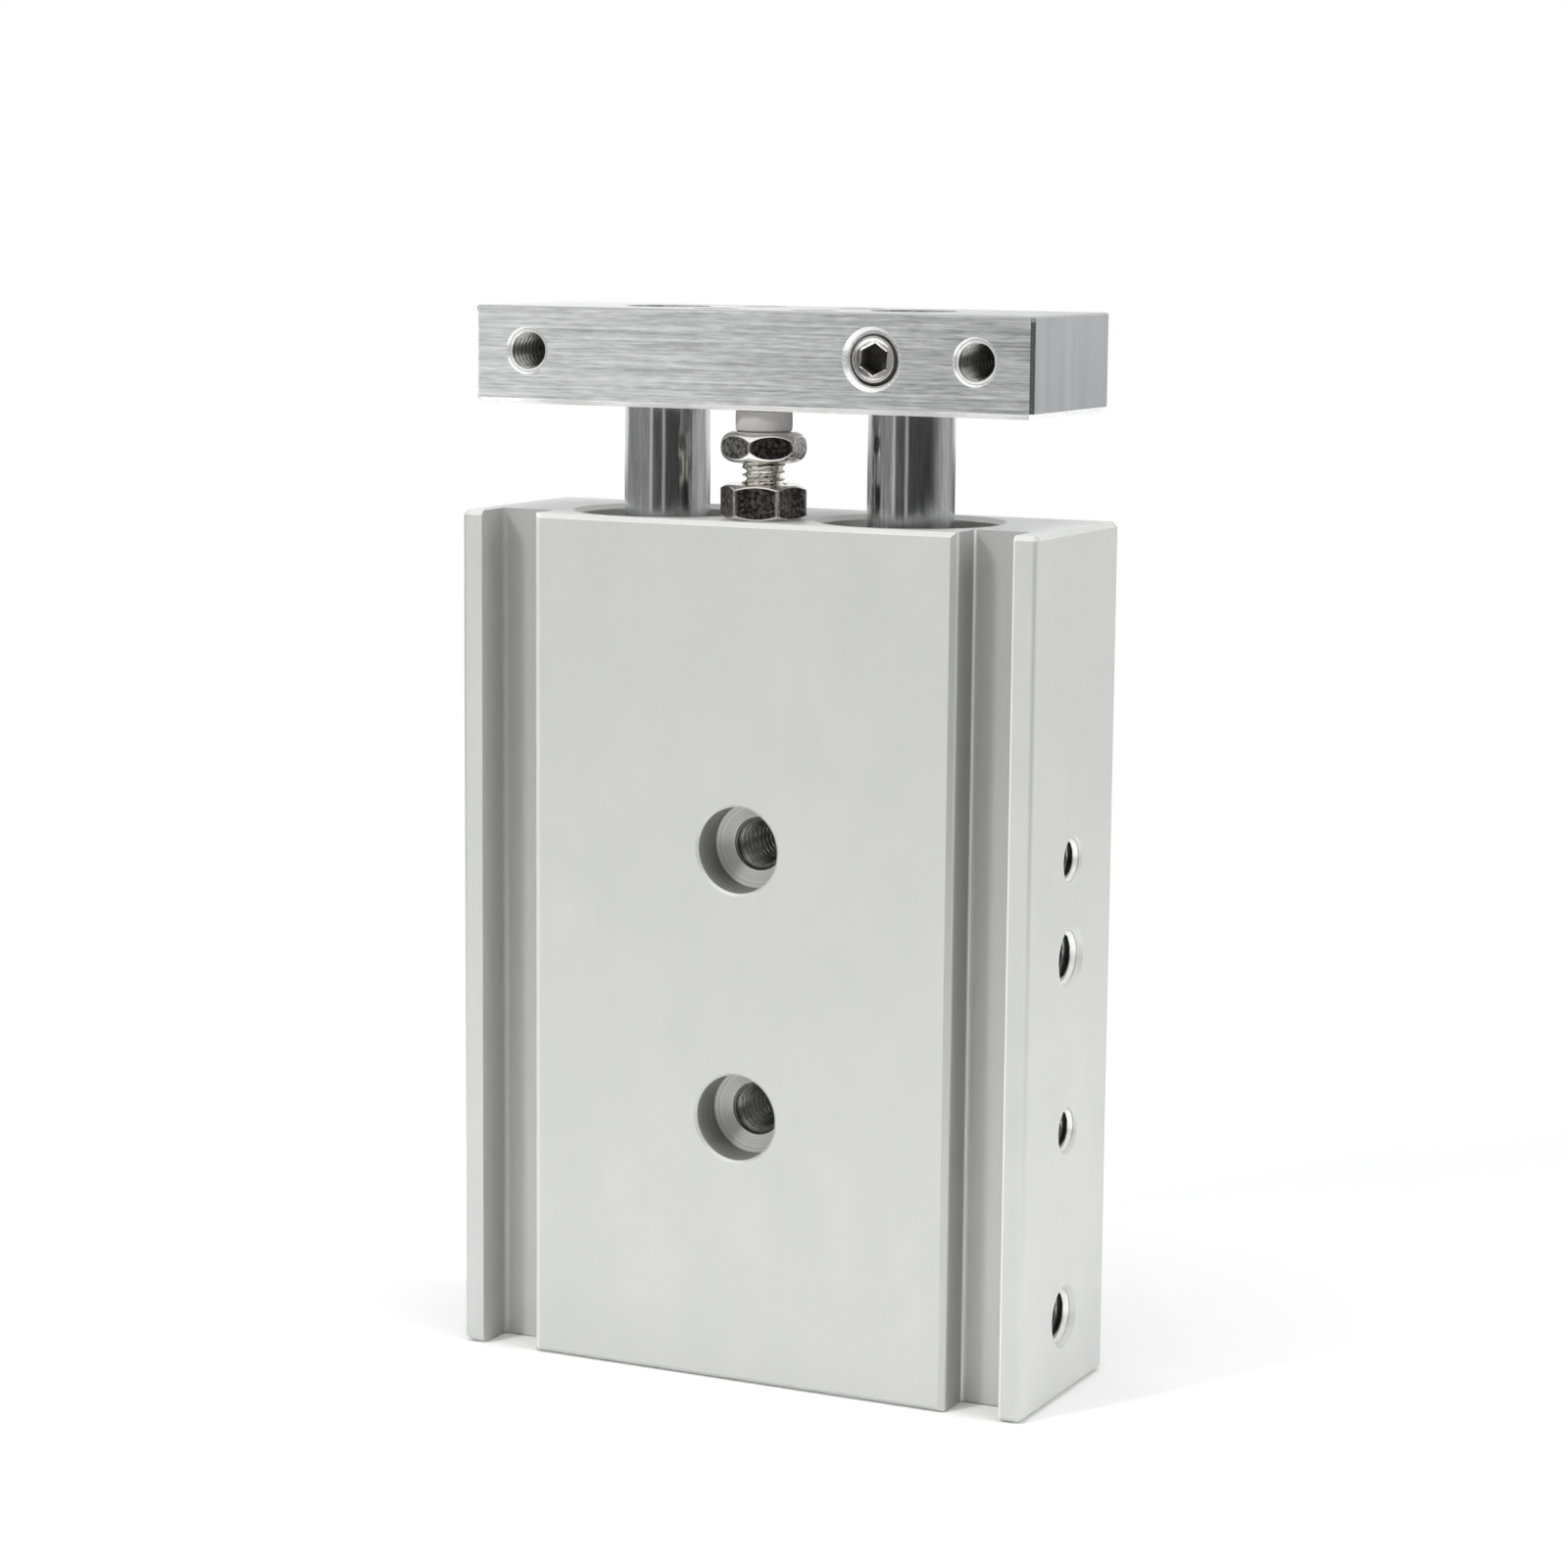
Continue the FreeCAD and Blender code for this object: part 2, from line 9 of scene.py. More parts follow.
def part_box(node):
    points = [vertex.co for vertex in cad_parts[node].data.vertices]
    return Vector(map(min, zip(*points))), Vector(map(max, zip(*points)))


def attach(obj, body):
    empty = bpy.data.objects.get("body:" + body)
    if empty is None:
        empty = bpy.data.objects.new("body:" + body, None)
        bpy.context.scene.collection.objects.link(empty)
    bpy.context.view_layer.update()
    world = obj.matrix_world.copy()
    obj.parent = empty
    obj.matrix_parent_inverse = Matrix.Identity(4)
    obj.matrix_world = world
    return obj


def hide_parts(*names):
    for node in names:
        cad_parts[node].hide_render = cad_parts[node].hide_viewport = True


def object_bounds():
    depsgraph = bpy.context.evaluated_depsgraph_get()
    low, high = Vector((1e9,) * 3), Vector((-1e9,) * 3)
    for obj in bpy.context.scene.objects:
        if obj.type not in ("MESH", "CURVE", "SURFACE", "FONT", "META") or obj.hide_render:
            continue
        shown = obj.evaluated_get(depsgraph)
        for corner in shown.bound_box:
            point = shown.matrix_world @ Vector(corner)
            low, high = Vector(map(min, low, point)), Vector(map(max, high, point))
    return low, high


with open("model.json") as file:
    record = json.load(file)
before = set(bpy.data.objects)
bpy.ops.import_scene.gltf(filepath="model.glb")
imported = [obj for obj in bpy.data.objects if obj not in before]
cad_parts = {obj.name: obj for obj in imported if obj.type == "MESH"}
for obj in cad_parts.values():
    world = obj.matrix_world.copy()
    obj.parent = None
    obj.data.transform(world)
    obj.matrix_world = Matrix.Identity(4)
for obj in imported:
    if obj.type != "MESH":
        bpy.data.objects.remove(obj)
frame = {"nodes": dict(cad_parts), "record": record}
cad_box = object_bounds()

# Body. One length of extruded aluminium, milled at its ends, drilled, its rims broken by hand,
# then satin blasted and clear anodised. Faint drawing lines run along it, and a painted highlight
# makes the broken rims lighter than the flats. Lengths are in millimetres; Blender takes them
# times MM.
MM = 0.001
BODY_GREY = (0.592, 0.602, 0.588, 1)
BODY_CLOUD = (0.642, 0.647, 0.638, 1)
# BODY_RIM is the pale tone of the drawing lines and the painted highlight on the lips along the
# grooves.
BODY_RIM = (0.82, 0.82, 0.81, 1)
# MILLED_RIM paints a highlight on the broken rims.
MILLED_RIM = (0.69, 0.695, 0.685, 1)
BODY_END = (0.74, 0.745, 0.74, 1)
# BODY_CORNER is painted shade on the corners, fading out towards the foot.
BODY_CORNER = (0.46, 0.465, 0.455, 1)
# The groove tones are painted shade in the switch grooves; GROOVE_FOOT is a paler painted light
# towards their foot.
GROOVE_FLOOR = (0.53, 0.53, 0.52, 1)
GROOVE_FOOT = (0.61, 0.61, 0.60, 1)
GROOVE_WALL = (0.40, 0.40, 0.39, 1)
# GROOVE_FILLET paints a highlight along the fillets of the right groove.
GROOVE_FILLET = (0.95, 0.95, 0.94, 1)
# The BORED tones paint shade on the bored walls, with the tool's rings in it.
BORED_DARK = (0.11, 0.11, 0.108, 1)
BORED_LIGHT = (0.52, 0.52, 0.51, 1)
# The SEAT tones paint a highlight on the counterbores' seats, with the tool's rings in it.
SEAT_GREY = (0.60, 0.60, 0.59, 1)
SEAT_BRIGHT = (0.98, 0.98, 0.97, 1)
DRAWN_TINT = 0.10
SATIN_ROUGH = (0.44, 0.54)
RIM_POLISH = -0.14
RIM_SLOPE = (0.06, 0.25)
END_SLOPE = (0.2, 0.5)
SQUARE_ON = 0.9
RING_TONES = (0.3, 0.7)
BODY_SIDE = cad_box[1][0] / MM
BODY_FRONT = cad_box[1][1] / MM
CORNER_BAND = 1.0
UPPER_LOW, UPPER_HIGH = 15.0, 60.0
GROOVE_IN, GROOVE_OUT, GROOVE_SLACK = 21.3, 26.8, 0.1
GROOVE_MOUTH_Y, GROOVE_TONED_Y, GROOVE_DEEP_Y = -9.95, -9.8, -5.7
# Strength of the painted shade on the groove walls, left and right, from the foot to the top.
WALL_SHADE_LEFT, WALL_SHADE_RIGHT = (0.45, 0.12), (0.72, 1.0)  # from the foot to the top
# Where the painted highlights run along the grooves' lips.
LIP_IN, LIP_OUT, LIP_Y = 0.65, 0.1625, -9.4
# Width and depth of the painted highlight on the right plateau's arris.
ARRIS, ARRIS_Y = 0.06, -9.15
MOUNT_Z = (25.0, 50.0)
MOUNT_R, MOUNT_SUNK_Y = 4.02, -9.0
MOUNT_RINGS = 4.5


def add(tree, kind, inputs=None, **options):
    """One shader node with its options set; an input is a plain value or another node's socket."""
    made = tree.nodes.new(kind)
    for name, value in options.items():
        setattr(made, name, value)
    for name, value in (inputs or {}).items():
        if isinstance(value, bpy.types.NodeSocket):
            tree.links.new(value, made.inputs[name])
        else:
            made.inputs[name].default_value = value
    return made


def calc(tree, operation, *values, clamp=False):
    """Result of one math node on values or sockets."""
    inputs = dict(enumerate(values))
    return add(tree, "ShaderNodeMath", inputs, operation=operation, use_clamp=clamp).outputs[0]


def times(tree, first, *others):
    """Product of masks."""
    for other in others:
        first = calc(tree, "MULTIPLY", first, other)
    return first


def inverse(tree, mask):
    """One less a mask."""
    return calc(tree, "SUBTRACT", 1.0, mask)


def ramp(tree, value, start, full, **options):
    """Mask that climbs from 0 at one value to 1 at another."""
    inputs = {"Value": value, "From Min": start, "From Max": full}
    return add(tree, "ShaderNodeMapRange", inputs, **options).outputs[0]


def between(tree, amount, low, high):
    """Number between two numbers by a mask."""
    inputs = {"Value": amount, "To Min": low, "To Max": high}
    return add(tree, "ShaderNodeMapRange", inputs).outputs[0]


def blend(tree, amount, first, second):
    """Colour between two colours by a mask."""
    inputs = {"Factor": amount, 6: first, 7: second}
    return add(tree, "ShaderNodeMix", inputs, data_type="RGBA").outputs[2]


def axes_of(tree, source):
    """The three parts, along the object's own axes, of the surface point in metres, for Object, or
    of the surface direction, for Normal."""
    place = add(tree, "ShaderNodeTexCoord")
    return add(tree, "ShaderNodeSeparateXYZ", {0: place.outputs[source]}).outputs


def node_group(name, inputs, outputs):
    """Empty shader group with its named sockets, and its two end nodes. Inputs are (name, kind,
    value)."""
    tree = bpy.data.node_groups.new(name, "ShaderNodeTree")
    for socket_name, kind, value in inputs:
        socket = tree.interface.new_socket(socket_name, in_out="INPUT", socket_type=kind)
        socket.default_value = value
    for socket_name in outputs:
        tree.interface.new_socket(socket_name, in_out="OUTPUT", socket_type="NodeSocketFloat")
    return tree, tree.nodes.new("NodeGroupInput"), tree.nodes.new("NodeGroupOutput")


def marks_group():
    """Noise in the object's own millimetres: Marks per mm along X, Y and Z stretches it into lines,
    and Contrast widens its swing about a half."""
    tree, start, end = node_group(
        "surface_marks",
        [("Marks per mm", "NodeSocketVector", (1, 1, 1)), ("Contrast", "NodeSocketFloat", 1.0)],
        ["Tone"],
    )
    inputs = {0: start.outputs["Marks per mm"], 1: (1 / MM,) * 3}
    per_metre = add(tree, "ShaderNodeVectorMath", inputs, operation="MULTIPLY").outputs[0]
    inputs = {0: add(tree, "ShaderNodeTexCoord").outputs["Object"], 1: per_metre}
    spread = add(tree, "ShaderNodeVectorMath", inputs, operation="MULTIPLY").outputs[0]
    inputs = {"Vector": spread, "Scale": 1.0, "Detail": 4.0, "Roughness": 0.55}
    noise = add(tree, "ShaderNodeTexNoise", inputs)
    centred = calc(tree, "SUBTRACT", noise.outputs["Fac"], 0.5)
    swing = calc(tree, "MULTIPLY_ADD", centred, start.outputs["Contrast"], 0.5, clamp=True)
    tree.links.new(swing, end.inputs["Tone"])
    return tree


def rim_group():
    """Mask of broken edges: one less the largest part of the surface direction, so flats give
    nothing."""
    tree, start, end = node_group(
        "broken_rim",
        [("From", "NodeSocketFloat", RIM_SLOPE[0]), ("To", "NodeSocketFloat", RIM_SLOPE[1])],
        ["Rim"],
    )
    across, deep, upright = (calc(tree, "ABSOLUTE", part) for part in axes_of(tree, "Normal"))
    largest = calc(tree, "MAXIMUM", calc(tree, "MAXIMUM", across, deep), upright)
    mask = ramp(tree, inverse(tree, largest), start.outputs["From"], start.outputs["To"])
    tree.links.new(mask, end.inputs["Rim"])
    return tree


SURFACE_MARKS = marks_group()
BROKEN_RIM = rim_group()


def new_material(name, metallic, specular=0.5):
    """Material with one Principled shader, its node tree and that shader."""
    made = bpy.data.materials.new(name)
    made.use_nodes = True
    shader = made.node_tree.nodes["Principled BSDF"]
    shader.inputs["Metallic"].default_value = metallic
    shader.inputs["Specular IOR Level"].default_value = specular
    return made, made.node_tree, shader


def marks(tree, per_mm, contrast=1.0):
    """Tone of surface marks, 0 to 1 about a half, so many to the millimetre along each axis."""
    inputs = {"Marks per mm": per_mm, "Contrast": contrast}
    return add(tree, "ShaderNodeGroup", inputs, node_tree=SURFACE_MARKS).outputs["Tone"]


def rim(tree):
    """Mask that is 1 on chamfers and rounded corners and 0 on flats square to the axes."""
    inputs = {"From": RIM_SLOPE[0], "To": RIM_SLOPE[1]}
    return add(tree, "ShaderNodeGroup", inputs, node_tree=BROKEN_RIM).outputs["Rim"]


def dress(tree, shader, colour, roughness, height, depth_mm):
    """Gives a shader its colour, its roughness and the relief of a height mask of some depth."""
    inputs = {"Height": height, "Distance": depth_mm * MM, "Strength": 1.0}
    relief = add(tree, "ShaderNodeBump", inputs).outputs["Normal"]
    for socket, source in (("Base Color", colour), ("Roughness", roughness), ("Normal", relief)):
        tree.links.new(source, shader.inputs[socket])


def from_axis(tree, across, beside):
    """Distance from an axis: the root of the sum of both offsets' squares."""
    squares = calc(tree, "MULTIPLY_ADD", across, across, times(tree, beside, beside))
    return calc(tree, "SQRT", squares)


def turning_marks(tree, reach, along, per_mm):
    """Tone of a lathe tool's rings, 0 to 1: noise over the distance from an axis and the way along
    it."""
    round_axis = add(tree, "ShaderNodeCombineXYZ", {0: reach, 1: along}).outputs[0]
    inputs = {"Vector": round_axis, "Scale": per_mm / MM, "Detail": 3.0}
    return ramp(tree, add(tree, "ShaderNodeTexNoise", inputs).outputs["Fac"], *RING_TONES)


def body_zones(tree):
    """Masks of the body's own zones: the switch grooves, which take painted shade; their upright
    walls, which take deeper painted shade on the right and, on the left, towards the foot; the
    bright lines along the grooves, painted highlights; the bored walls, painted shade, and the
    seats of the two counterbored holes, a painted highlight; the corners, painted shade; the body's
    upper part, below which the grooves take a paler painted light and the corners' painted shade
    fades;
    and the tone of the tool's rings in the holes."""
    at, along = axes_of(tree, "Object"), axes_of(tree, "Normal")
    aside = calc(tree, "ABSOLUTE", at[0])
    right = calc(tree, "GREATER_THAN", at[0], 0.0)
    upper = ramp(tree, at[2], UPPER_LOW * MM, UPPER_HIGH * MM)

    middle, half = (GROOVE_IN + GROOVE_OUT) / 2, (GROOVE_OUT - GROOVE_IN + GROOVE_SLACK) / 2
    within = calc(tree, "COMPARE", aside, middle * MM, half * MM)
    shallow = calc(tree, "LESS_THAN", at[1], GROOVE_DEEP_Y * MM)
    toned = ramp(tree, at[1], GROOVE_MOUTH_Y * MM, GROOVE_TONED_Y * MM)
    groove = times(tree, within, shallow, toned)
    wall_shade_left, wall_shade_right = (between(tree, upper, *d) for d in (WALL_SHADE_LEFT, WALL_SHADE_RIGHT))
    wall_shade = between(tree, right, wall_shade_left, wall_shade_right)

    at_mouth = calc(tree, "LESS_THAN", at[1], LIP_Y * MM)
    on_inner = calc(tree, "COMPARE", aside, (GROOVE_IN - LIP_IN / 2) * MM, LIP_IN / 2 * MM)
    on_outer = calc(tree, "COMPARE", aside, (GROOVE_OUT + LIP_OUT / 2) * MM, LIP_OUT / 2 * MM)
    inner_lip, outer_lip = times(tree, on_inner, at_mouth), times(tree, on_outer, at_mouth)
    on_arris = calc(tree, "COMPARE", aside, GROOVE_IN * MM, ARRIS * MM)
    arris = times(tree, on_arris, calc(tree, "LESS_THAN", at[1], ARRIS_Y * MM))

    from_middle = calc(tree, "ABSOLUTE", calc(tree, "SUBTRACT", at[2], sum(MOUNT_Z) / 2 * MM))
    rise = calc(tree, "SUBTRACT", from_middle, (MOUNT_Z[1] - MOUNT_Z[0]) / 2 * MM)
    reach = from_axis(tree, at[0], rise)
    hole = calc(tree, "LESS_THAN", reach, MOUNT_R * MM)
    level = calc(tree, "ABSOLUTE", along[1])
    sunk = calc(tree, "GREATER_THAN", at[1], MOUNT_SUNK_Y * MM)

    deep = calc(tree, "ABSOLUTE", at[1])
    beside = calc(tree, "GREATER_THAN", aside, (BODY_SIDE - CORNER_BAND) * MM)
    outside = calc(tree, "GREATER_THAN", deep, (BODY_FRONT - CORNER_BAND) * MM)
    corners = calc(tree, "MAXIMUM", times(tree, beside, outside), times(tree, inner_lip, right))
    return {
        "groove": groove,
        "wall": times(tree, groove, wall_shade, calc(tree, "ABSOLUTE", along[0])),
        "fillet": times(tree, groove, right),
        "lips": between(tree, right, inner_lip, outer_lip),
        "arris": times(tree, arris, right),
        "bored": times(tree, hole, inverse(tree, level)),
        "seat": times(tree, hole, level, sunk),
        "corner": times(tree, corners, upper),
        "upper": upper,
        "turned": turning_marks(tree, reach, at[1], MOUNT_RINGS),
    }


def satin_body():
    """Clear anodised satin: clouded grey, drawing lines along Z and blasted grain. Painted
    highlights lighten the broken rims, the lips, fillets and arris along the grooves and the seats
    of the holes;
    painted shade darkens the grooves, their walls, the corners and the bored walls. Each tone lies
    over those before it by its own mask."""
    made, tree, shader = new_material("satin_anodised", metallic=0.4)
    cloud = marks(tree, per_mm=(0.16, 0.16, 0.1), contrast=1.6)
    drawn = marks(tree, per_mm=(7.0, 7.0, 0.04), contrast=1.2)
    grain = marks(tree, per_mm=(14.0, 14.0, 14.0))
    zone = body_zones(tree)
    sloped = rim(tree)
    along = axes_of(tree, "Normal")
    across, upright = calc(tree, "ABSOLUTE", along[0]), calc(tree, "ABSOLUTE", along[2])
    milled = times(tree, sloped, ramp(tree, upright, *END_SLOPE), inverse(tree, across))
    covered = calc(tree, "MAXIMUM", zone["groove"], zone["bored"])
    rim_shading_and_polish = times(tree, milled, inverse(tree, covered))

    clouded = blend(tree, cloud, BODY_GREY, BODY_CLOUD)
    skin = blend(tree, between(tree, drawn, 0.0, DRAWN_TINT), clouded, BODY_RIM)
    for mask, tone in (
        # Painted shade on the corners.
        (times(tree, zone["corner"], sloped), BODY_CORNER),
        (calc(tree, "GREATER_THAN", upright, SQUARE_ON), BODY_END),
        # Painted highlight on the broken rims.
        (rim_shading_and_polish, MILLED_RIM),
        # Painted highlight on the lips along the grooves.
        (zone["lips"], BODY_RIM),
        # Painted shade in the grooves, paler towards the foot as a painted light, and deeper
        # painted shade on their walls.
        (zone["groove"], blend(tree, zone["upper"], GROOVE_FOOT, GROOVE_FLOOR)),
        (zone["wall"], GROOVE_WALL),
        # Painted highlight on the right groove's fillets.
        (times(tree, zone["fillet"], sloped), GROOVE_FILLET),
        # Painted highlight on that arris.
        (zone["arris"], BODY_CLOUD),
        # Painted highlight on the seats.
        (zone["seat"], blend(tree, zone["turned"], SEAT_GREY, SEAT_BRIGHT)),
        # Painted shade on the bored walls.
        (zone["bored"], blend(tree, zone["turned"], BORED_DARK, BORED_LIGHT)),
    ):
        skin = blend(tree, mask, skin, tone)
    softness = between(tree, grain, *SATIN_ROUGH)
    roughness = calc(tree, "MULTIPLY_ADD", rim_shading_and_polish, RIM_POLISH, softness)
    dress(tree, shader, skin, roughness, grain, depth_mm=0.004)
    return made


def coat(slot, material):
    """Gives a finish to every CAD node that takes it from the record's slot of that name."""
    for part in frame["record"]["subparts"]:
        if part["material_slot"] == slot:
            for place in frame["nodes"][part["node"]].material_slots:
                place.material = material


coat("anodised_body", satin_body())

# Tapped holes of the body. The metric threads are cut into the drilled holes after the body is
# machined, so their flanks are bare aluminium: two through holes between the counterbores, four
# blind ones in the sides and the two air ports.
# TAPPED_ROOT is painted shade in the thread's roots.
TAPPED_ROOT = (0.07, 0.07, 0.068, 1)
TAPPED_GREY = (0.36, 0.36, 0.355, 1)
TAPPED_SHINE = (0.70, 0.70, 0.69, 1)
TAPPED_ROUGH = (0.24, 0.38)
COUNTERSUNK_GREY = (0.78, 0.78, 0.77, 1)
COUNTERSUNK_SHINE = (0.92, 0.92, 0.91, 1)
M4, M5 = 4.0, 5.0
COARSE_PITCH = {M5: 0.8, M4: 0.7}
THREAD_DEPTH = 0.54  # of a pitch
FLANK_GAIN, ROOT_FLAT = 1.35, 0.15  # of the thread's depth
LINING_GAP, LINING_WALL, LINING_LEAST = 0.03, 0.03, 0.01
LINING_COLUMNS = 72
LINING_ROWS = 14  # to a pitch
SHARP_ANGLE = math.radians(32)
MOUNT_THREAD = 10.4
SIDE_THREAD, SIDE_INSET = 5.6, 0.3
PORT_THREAD, PORT_INSET = 4.9, 0.5
PORT_Z = (7.5, 41.0)


def new_piece(name, points, faces):
    """Smooth mesh object at the origin from points in metres and lists of their numbers."""
    mesh = bpy.data.meshes.new(name)
    mesh.from_pydata(points.tolist(), [], faces)
    mesh.shade_smooth()
    piece = bpy.data.objects.new(name, mesh)
    bpy.context.scene.collection.objects.link(piece)
    return piece


def lathe(name, radius, height, angle, origin, axis, hollow=False):
    """Piece turned about an axis. Each row of radius and height is one ring, each column one angle;
    rows run out along the foot, up the outside and back in along the top. A hollow piece joins its
    last ring to its first, a solid one closes both ends by a fan."""
    along = np.array(axis, float)
    across = np.array((1.0, 0.0, 0.0) if abs(along[0]) < 0.5 else (0.0, 1.0, 0.0))
    beside = np.cross(along, across)
    ring_out = np.cos(angle)[:, None] * across + np.sin(angle)[:, None] * beside
    points = np.array(origin, float) + radius[..., None] * ring_out + height[..., None] * along
    rows, columns = radius.shape
    index = np.arange(rows * columns).reshape(rows, columns)
    turn = np.roll(index, -1, axis=1)
    row = np.arange(rows)
    low, high = (row, np.roll(row, -1)) if hollow else (row[:-1], row[1:])
    quads = np.stack([index[low], turn[low], turn[high], index[high]], axis=-1)
    points, faces = points.reshape(-1, 3), quads.reshape(-1, 4).tolist()
    if not hollow:
        ends = np.array([points[index[0]].mean(axis=0), points[index[-1]].mean(axis=0)])
        foot = np.stack([np.full(columns, len(points)), turn[0], index[0]], axis=-1)
        head = np.stack([np.full(columns, len(points) + 1), index[-1], turn[-1]], axis=-1)
        points = np.vstack([points, ends])
        faces += foot.tolist() + head.tolist()
    piece = new_piece(name, points * MM, faces)
    piece.data.set_sharp_from_angle(angle=SHARP_ANGLE)
    return piece


def mark_points(piece, name, values):
    """Gives each point of a piece a number that its material reads by name; points left over get
    0."""
    numbers = np.zeros(len(piece.data.vertices))
    numbers[:values.size] = values.ravel()
    piece.data.attributes.new(name, "FLOAT", "POINT").data.foreach_set("value", numbers)


def marked(tree, name):
    """The number that the points of a piece carry under a name, 0 on pieces without it."""
    return add(tree, "ShaderNodeAttribute", attribute_name=name).outputs["Fac"]


def round_angles(columns, start_deg=0.0):
    """Angles of a ring's columns, from a starting angle once round."""
    return math.radians(start_deg) + np.linspace(0, 2 * np.pi, columns, endpoint=False)


def rings(outline, columns):
    """Round rows of a turned outline of (radius, height) points: radius and height arrays."""
    points = np.array(outline, float)
    return np.repeat(points[:, :1], columns, axis=1), np.repeat(points[:, 1:], columns, axis=1)


def stacked(*stretches):
    """Rows of several turned stretches, one after the other: radius and height arrays."""
    return tuple(np.vstack(rows) for rows in zip(*stretches))


def helix_wave(height, angle, pitch):
    """Thread form from 0 at the root to 1 at the crest: a triangle wave of height over pitch less
    the turn, its tips cut flat."""
    phase = (height / pitch - angle[None, :] / (2 * np.pi)) % 1.0
    return np.clip(FLANK_GAIN * (1 - np.abs(2 * phase - 1)) - ROOT_FLAT, 0, 1)


def tapped_wall(name, body, diameter, length, mouth, inward, countersunk=True):
    """Thin threaded lining of a drilled hole: its ridge rises from the wall towards the axis by the
    helix wave and fades out over half a pitch at the far end. A countersunk mouth cuts the ridge
    back to a cone, one millimetre in for one out; otherwise it fades in as it fades out."""
    pitch = COARSE_PITCH[diameter]
    back = diameter / 2 - LINING_GAP
    angle = round_angles(LINING_COLUMNS)
    deep = np.linspace(0, length, int(length / pitch * LINING_ROWS))[:, None] + 0 * angle
    to_end = length - deep if countersunk else np.minimum(deep, length - deep)
    wave = helix_wave(deep, angle, pitch)
    inner = back - LINING_WALL - THREAD_DEPTH * pitch * wave * np.clip(to_end / (pitch / 2), 0, 1)
    if countersunk:
        inner = np.maximum(inner, np.minimum(back - LINING_LEAST, back - deep))
    outside = rings([(back, 0), (back, length)], LINING_COLUMNS)
    radius, height = stacked(outside, (inner[::-1], deep[::-1]))
    lining = lathe(name, radius, height, angle, mouth, inward, hollow=True)
    mark_points(lining, "crest", np.vstack([0 * outside[0], wave[::-1]]))
    lining.data.materials.append(TAPPED_METAL)
    lining.data.materials.append(COUNTERSINK)
    cone = countersunk & (height < THREAD_DEPTH * pitch)
    cone[:len(outside[0])] = False
    lining.data.polygons.foreach_set("material_index", cone.ravel().astype(np.int32))
    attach(lining, body)


def tapped_metal():
    """Bare cut aluminium: fine torn marks on bright crests, with painted shade in the thread's
    roots.
    """
    made, tree, shader = new_material("tapped_aluminium", metallic=0.9)
    torn = marks(tree, per_mm=(5.0, 5.0, 5.0), contrast=1.5)
    cut = blend(tree, torn, TAPPED_GREY, TAPPED_SHINE)
    colour = blend(tree, marked(tree, "crest"), TAPPED_ROOT, cut)
    dress(tree, shader, colour, between(tree, torn, *TAPPED_ROUGH), torn, depth_mm=0.006)
    return made


def two_tone(name, dark, light, per_mm, metallic, rough, relief_mm, specular=0.5, contrast=1.4):
    """Finish that wanders between two colours and two roughnesses with the same marks, which also
    give its relief."""
    made, tree, shader = new_material(name, metallic, specular)
    tone = marks(tree, (per_mm,) * 3, contrast)
    colour = blend(tree, tone, dark, light)
    dress(tree, shader, colour, between(tree, tone, *rough), tone, relief_mm)
    return made


TAPPED_METAL = tapped_metal()
COUNTERSINK = two_tone(
    "countersunk_aluminium", COUNTERSUNK_GREY, COUNTERSUNK_SHINE, per_mm=6.0, metallic=0.42,
    rough=(0.26, 0.40), relief_mm=0.004, contrast=1.5,
)
for count, z in enumerate(MOUNT_Z, 1):
    tapped_wall(
        f"mount_thread_{count}", "housing", M5, MOUNT_THREAD,
        (0, -MOUNT_THREAD / 2, z), (0, 1, 0), countersunk=False,
    )
    for side, way in (("left", -1), ("right", 1)):
        tapped_wall(
            f"{side}_side_thread_{count}", "housing", M4, SIDE_THREAD,
            (way * (BODY_SIDE - SIDE_INSET), 0, z), (-way, 0, 0),
        )
for count, z in enumerate(PORT_Z, 1):
    tapped_wall(
        f"port_thread_{count}", "housing", M5, PORT_THREAD,
        (BODY_SIDE - PORT_INSET, 0, z), (-1, 0, 0),
    )

# Covers, retainers and retaining rings in the ends of the bores. Covers and retainers are turned
# from aluminium bar; the sprung rings are stamped from steel strip and phosphated; seals and
# O-rings are black rubber.
TURNED_GREY = (0.52, 0.515, 0.50, 1)
TURNED_SHINE = (0.80, 0.80, 0.78, 1)
TURNED_ROUGH = (0.26, 0.40)
TURNED_RINGS = 3.5
SPRING_DARK = (0.055, 0.055, 0.06, 1)
SPRING_WORN = (0.16, 0.16, 0.165, 1)
RUBBER_BLACK = (0.012, 0.012, 0.012, 1)
RUBBER_BLOOM = (0.035, 0.035, 0.034, 1)
ROD_X = 12.5


def turned_metal():
    """Turned bar: rings of the lathe tool about the axis of the bore that the piece sits in."""
    made, tree, shader = new_material("turned_aluminium", metallic=1.0)
    at = axes_of(tree, "Object")
    aside = calc(tree, "SUBTRACT", calc(tree, "ABSOLUTE", at[0]), ROD_X * MM)
    tone = turning_marks(tree, from_axis(tree, aside, at[1]), at[2], TURNED_RINGS)
    colour = blend(tree, tone, TURNED_GREY, TURNED_SHINE)
    dress(tree, shader, colour, between(tree, tone, *TURNED_ROUGH), tone, depth_mm=0.006)
    return made


coat("turned_aluminium", turned_metal())
coat("spring_steel", two_tone(
    "phosphated_spring", SPRING_DARK, SPRING_WORN, per_mm=6.0, metallic=0.8,
    rough=(0.38, 0.55), relief_mm=0.008,
))
coat("seal_rubber", two_tone(
    "seal_rubber", RUBBER_BLACK, RUBBER_BLOOM, per_mm=4.0, metallic=0.0,
    rough=(0.45, 0.62), relief_mm=0.01,
))

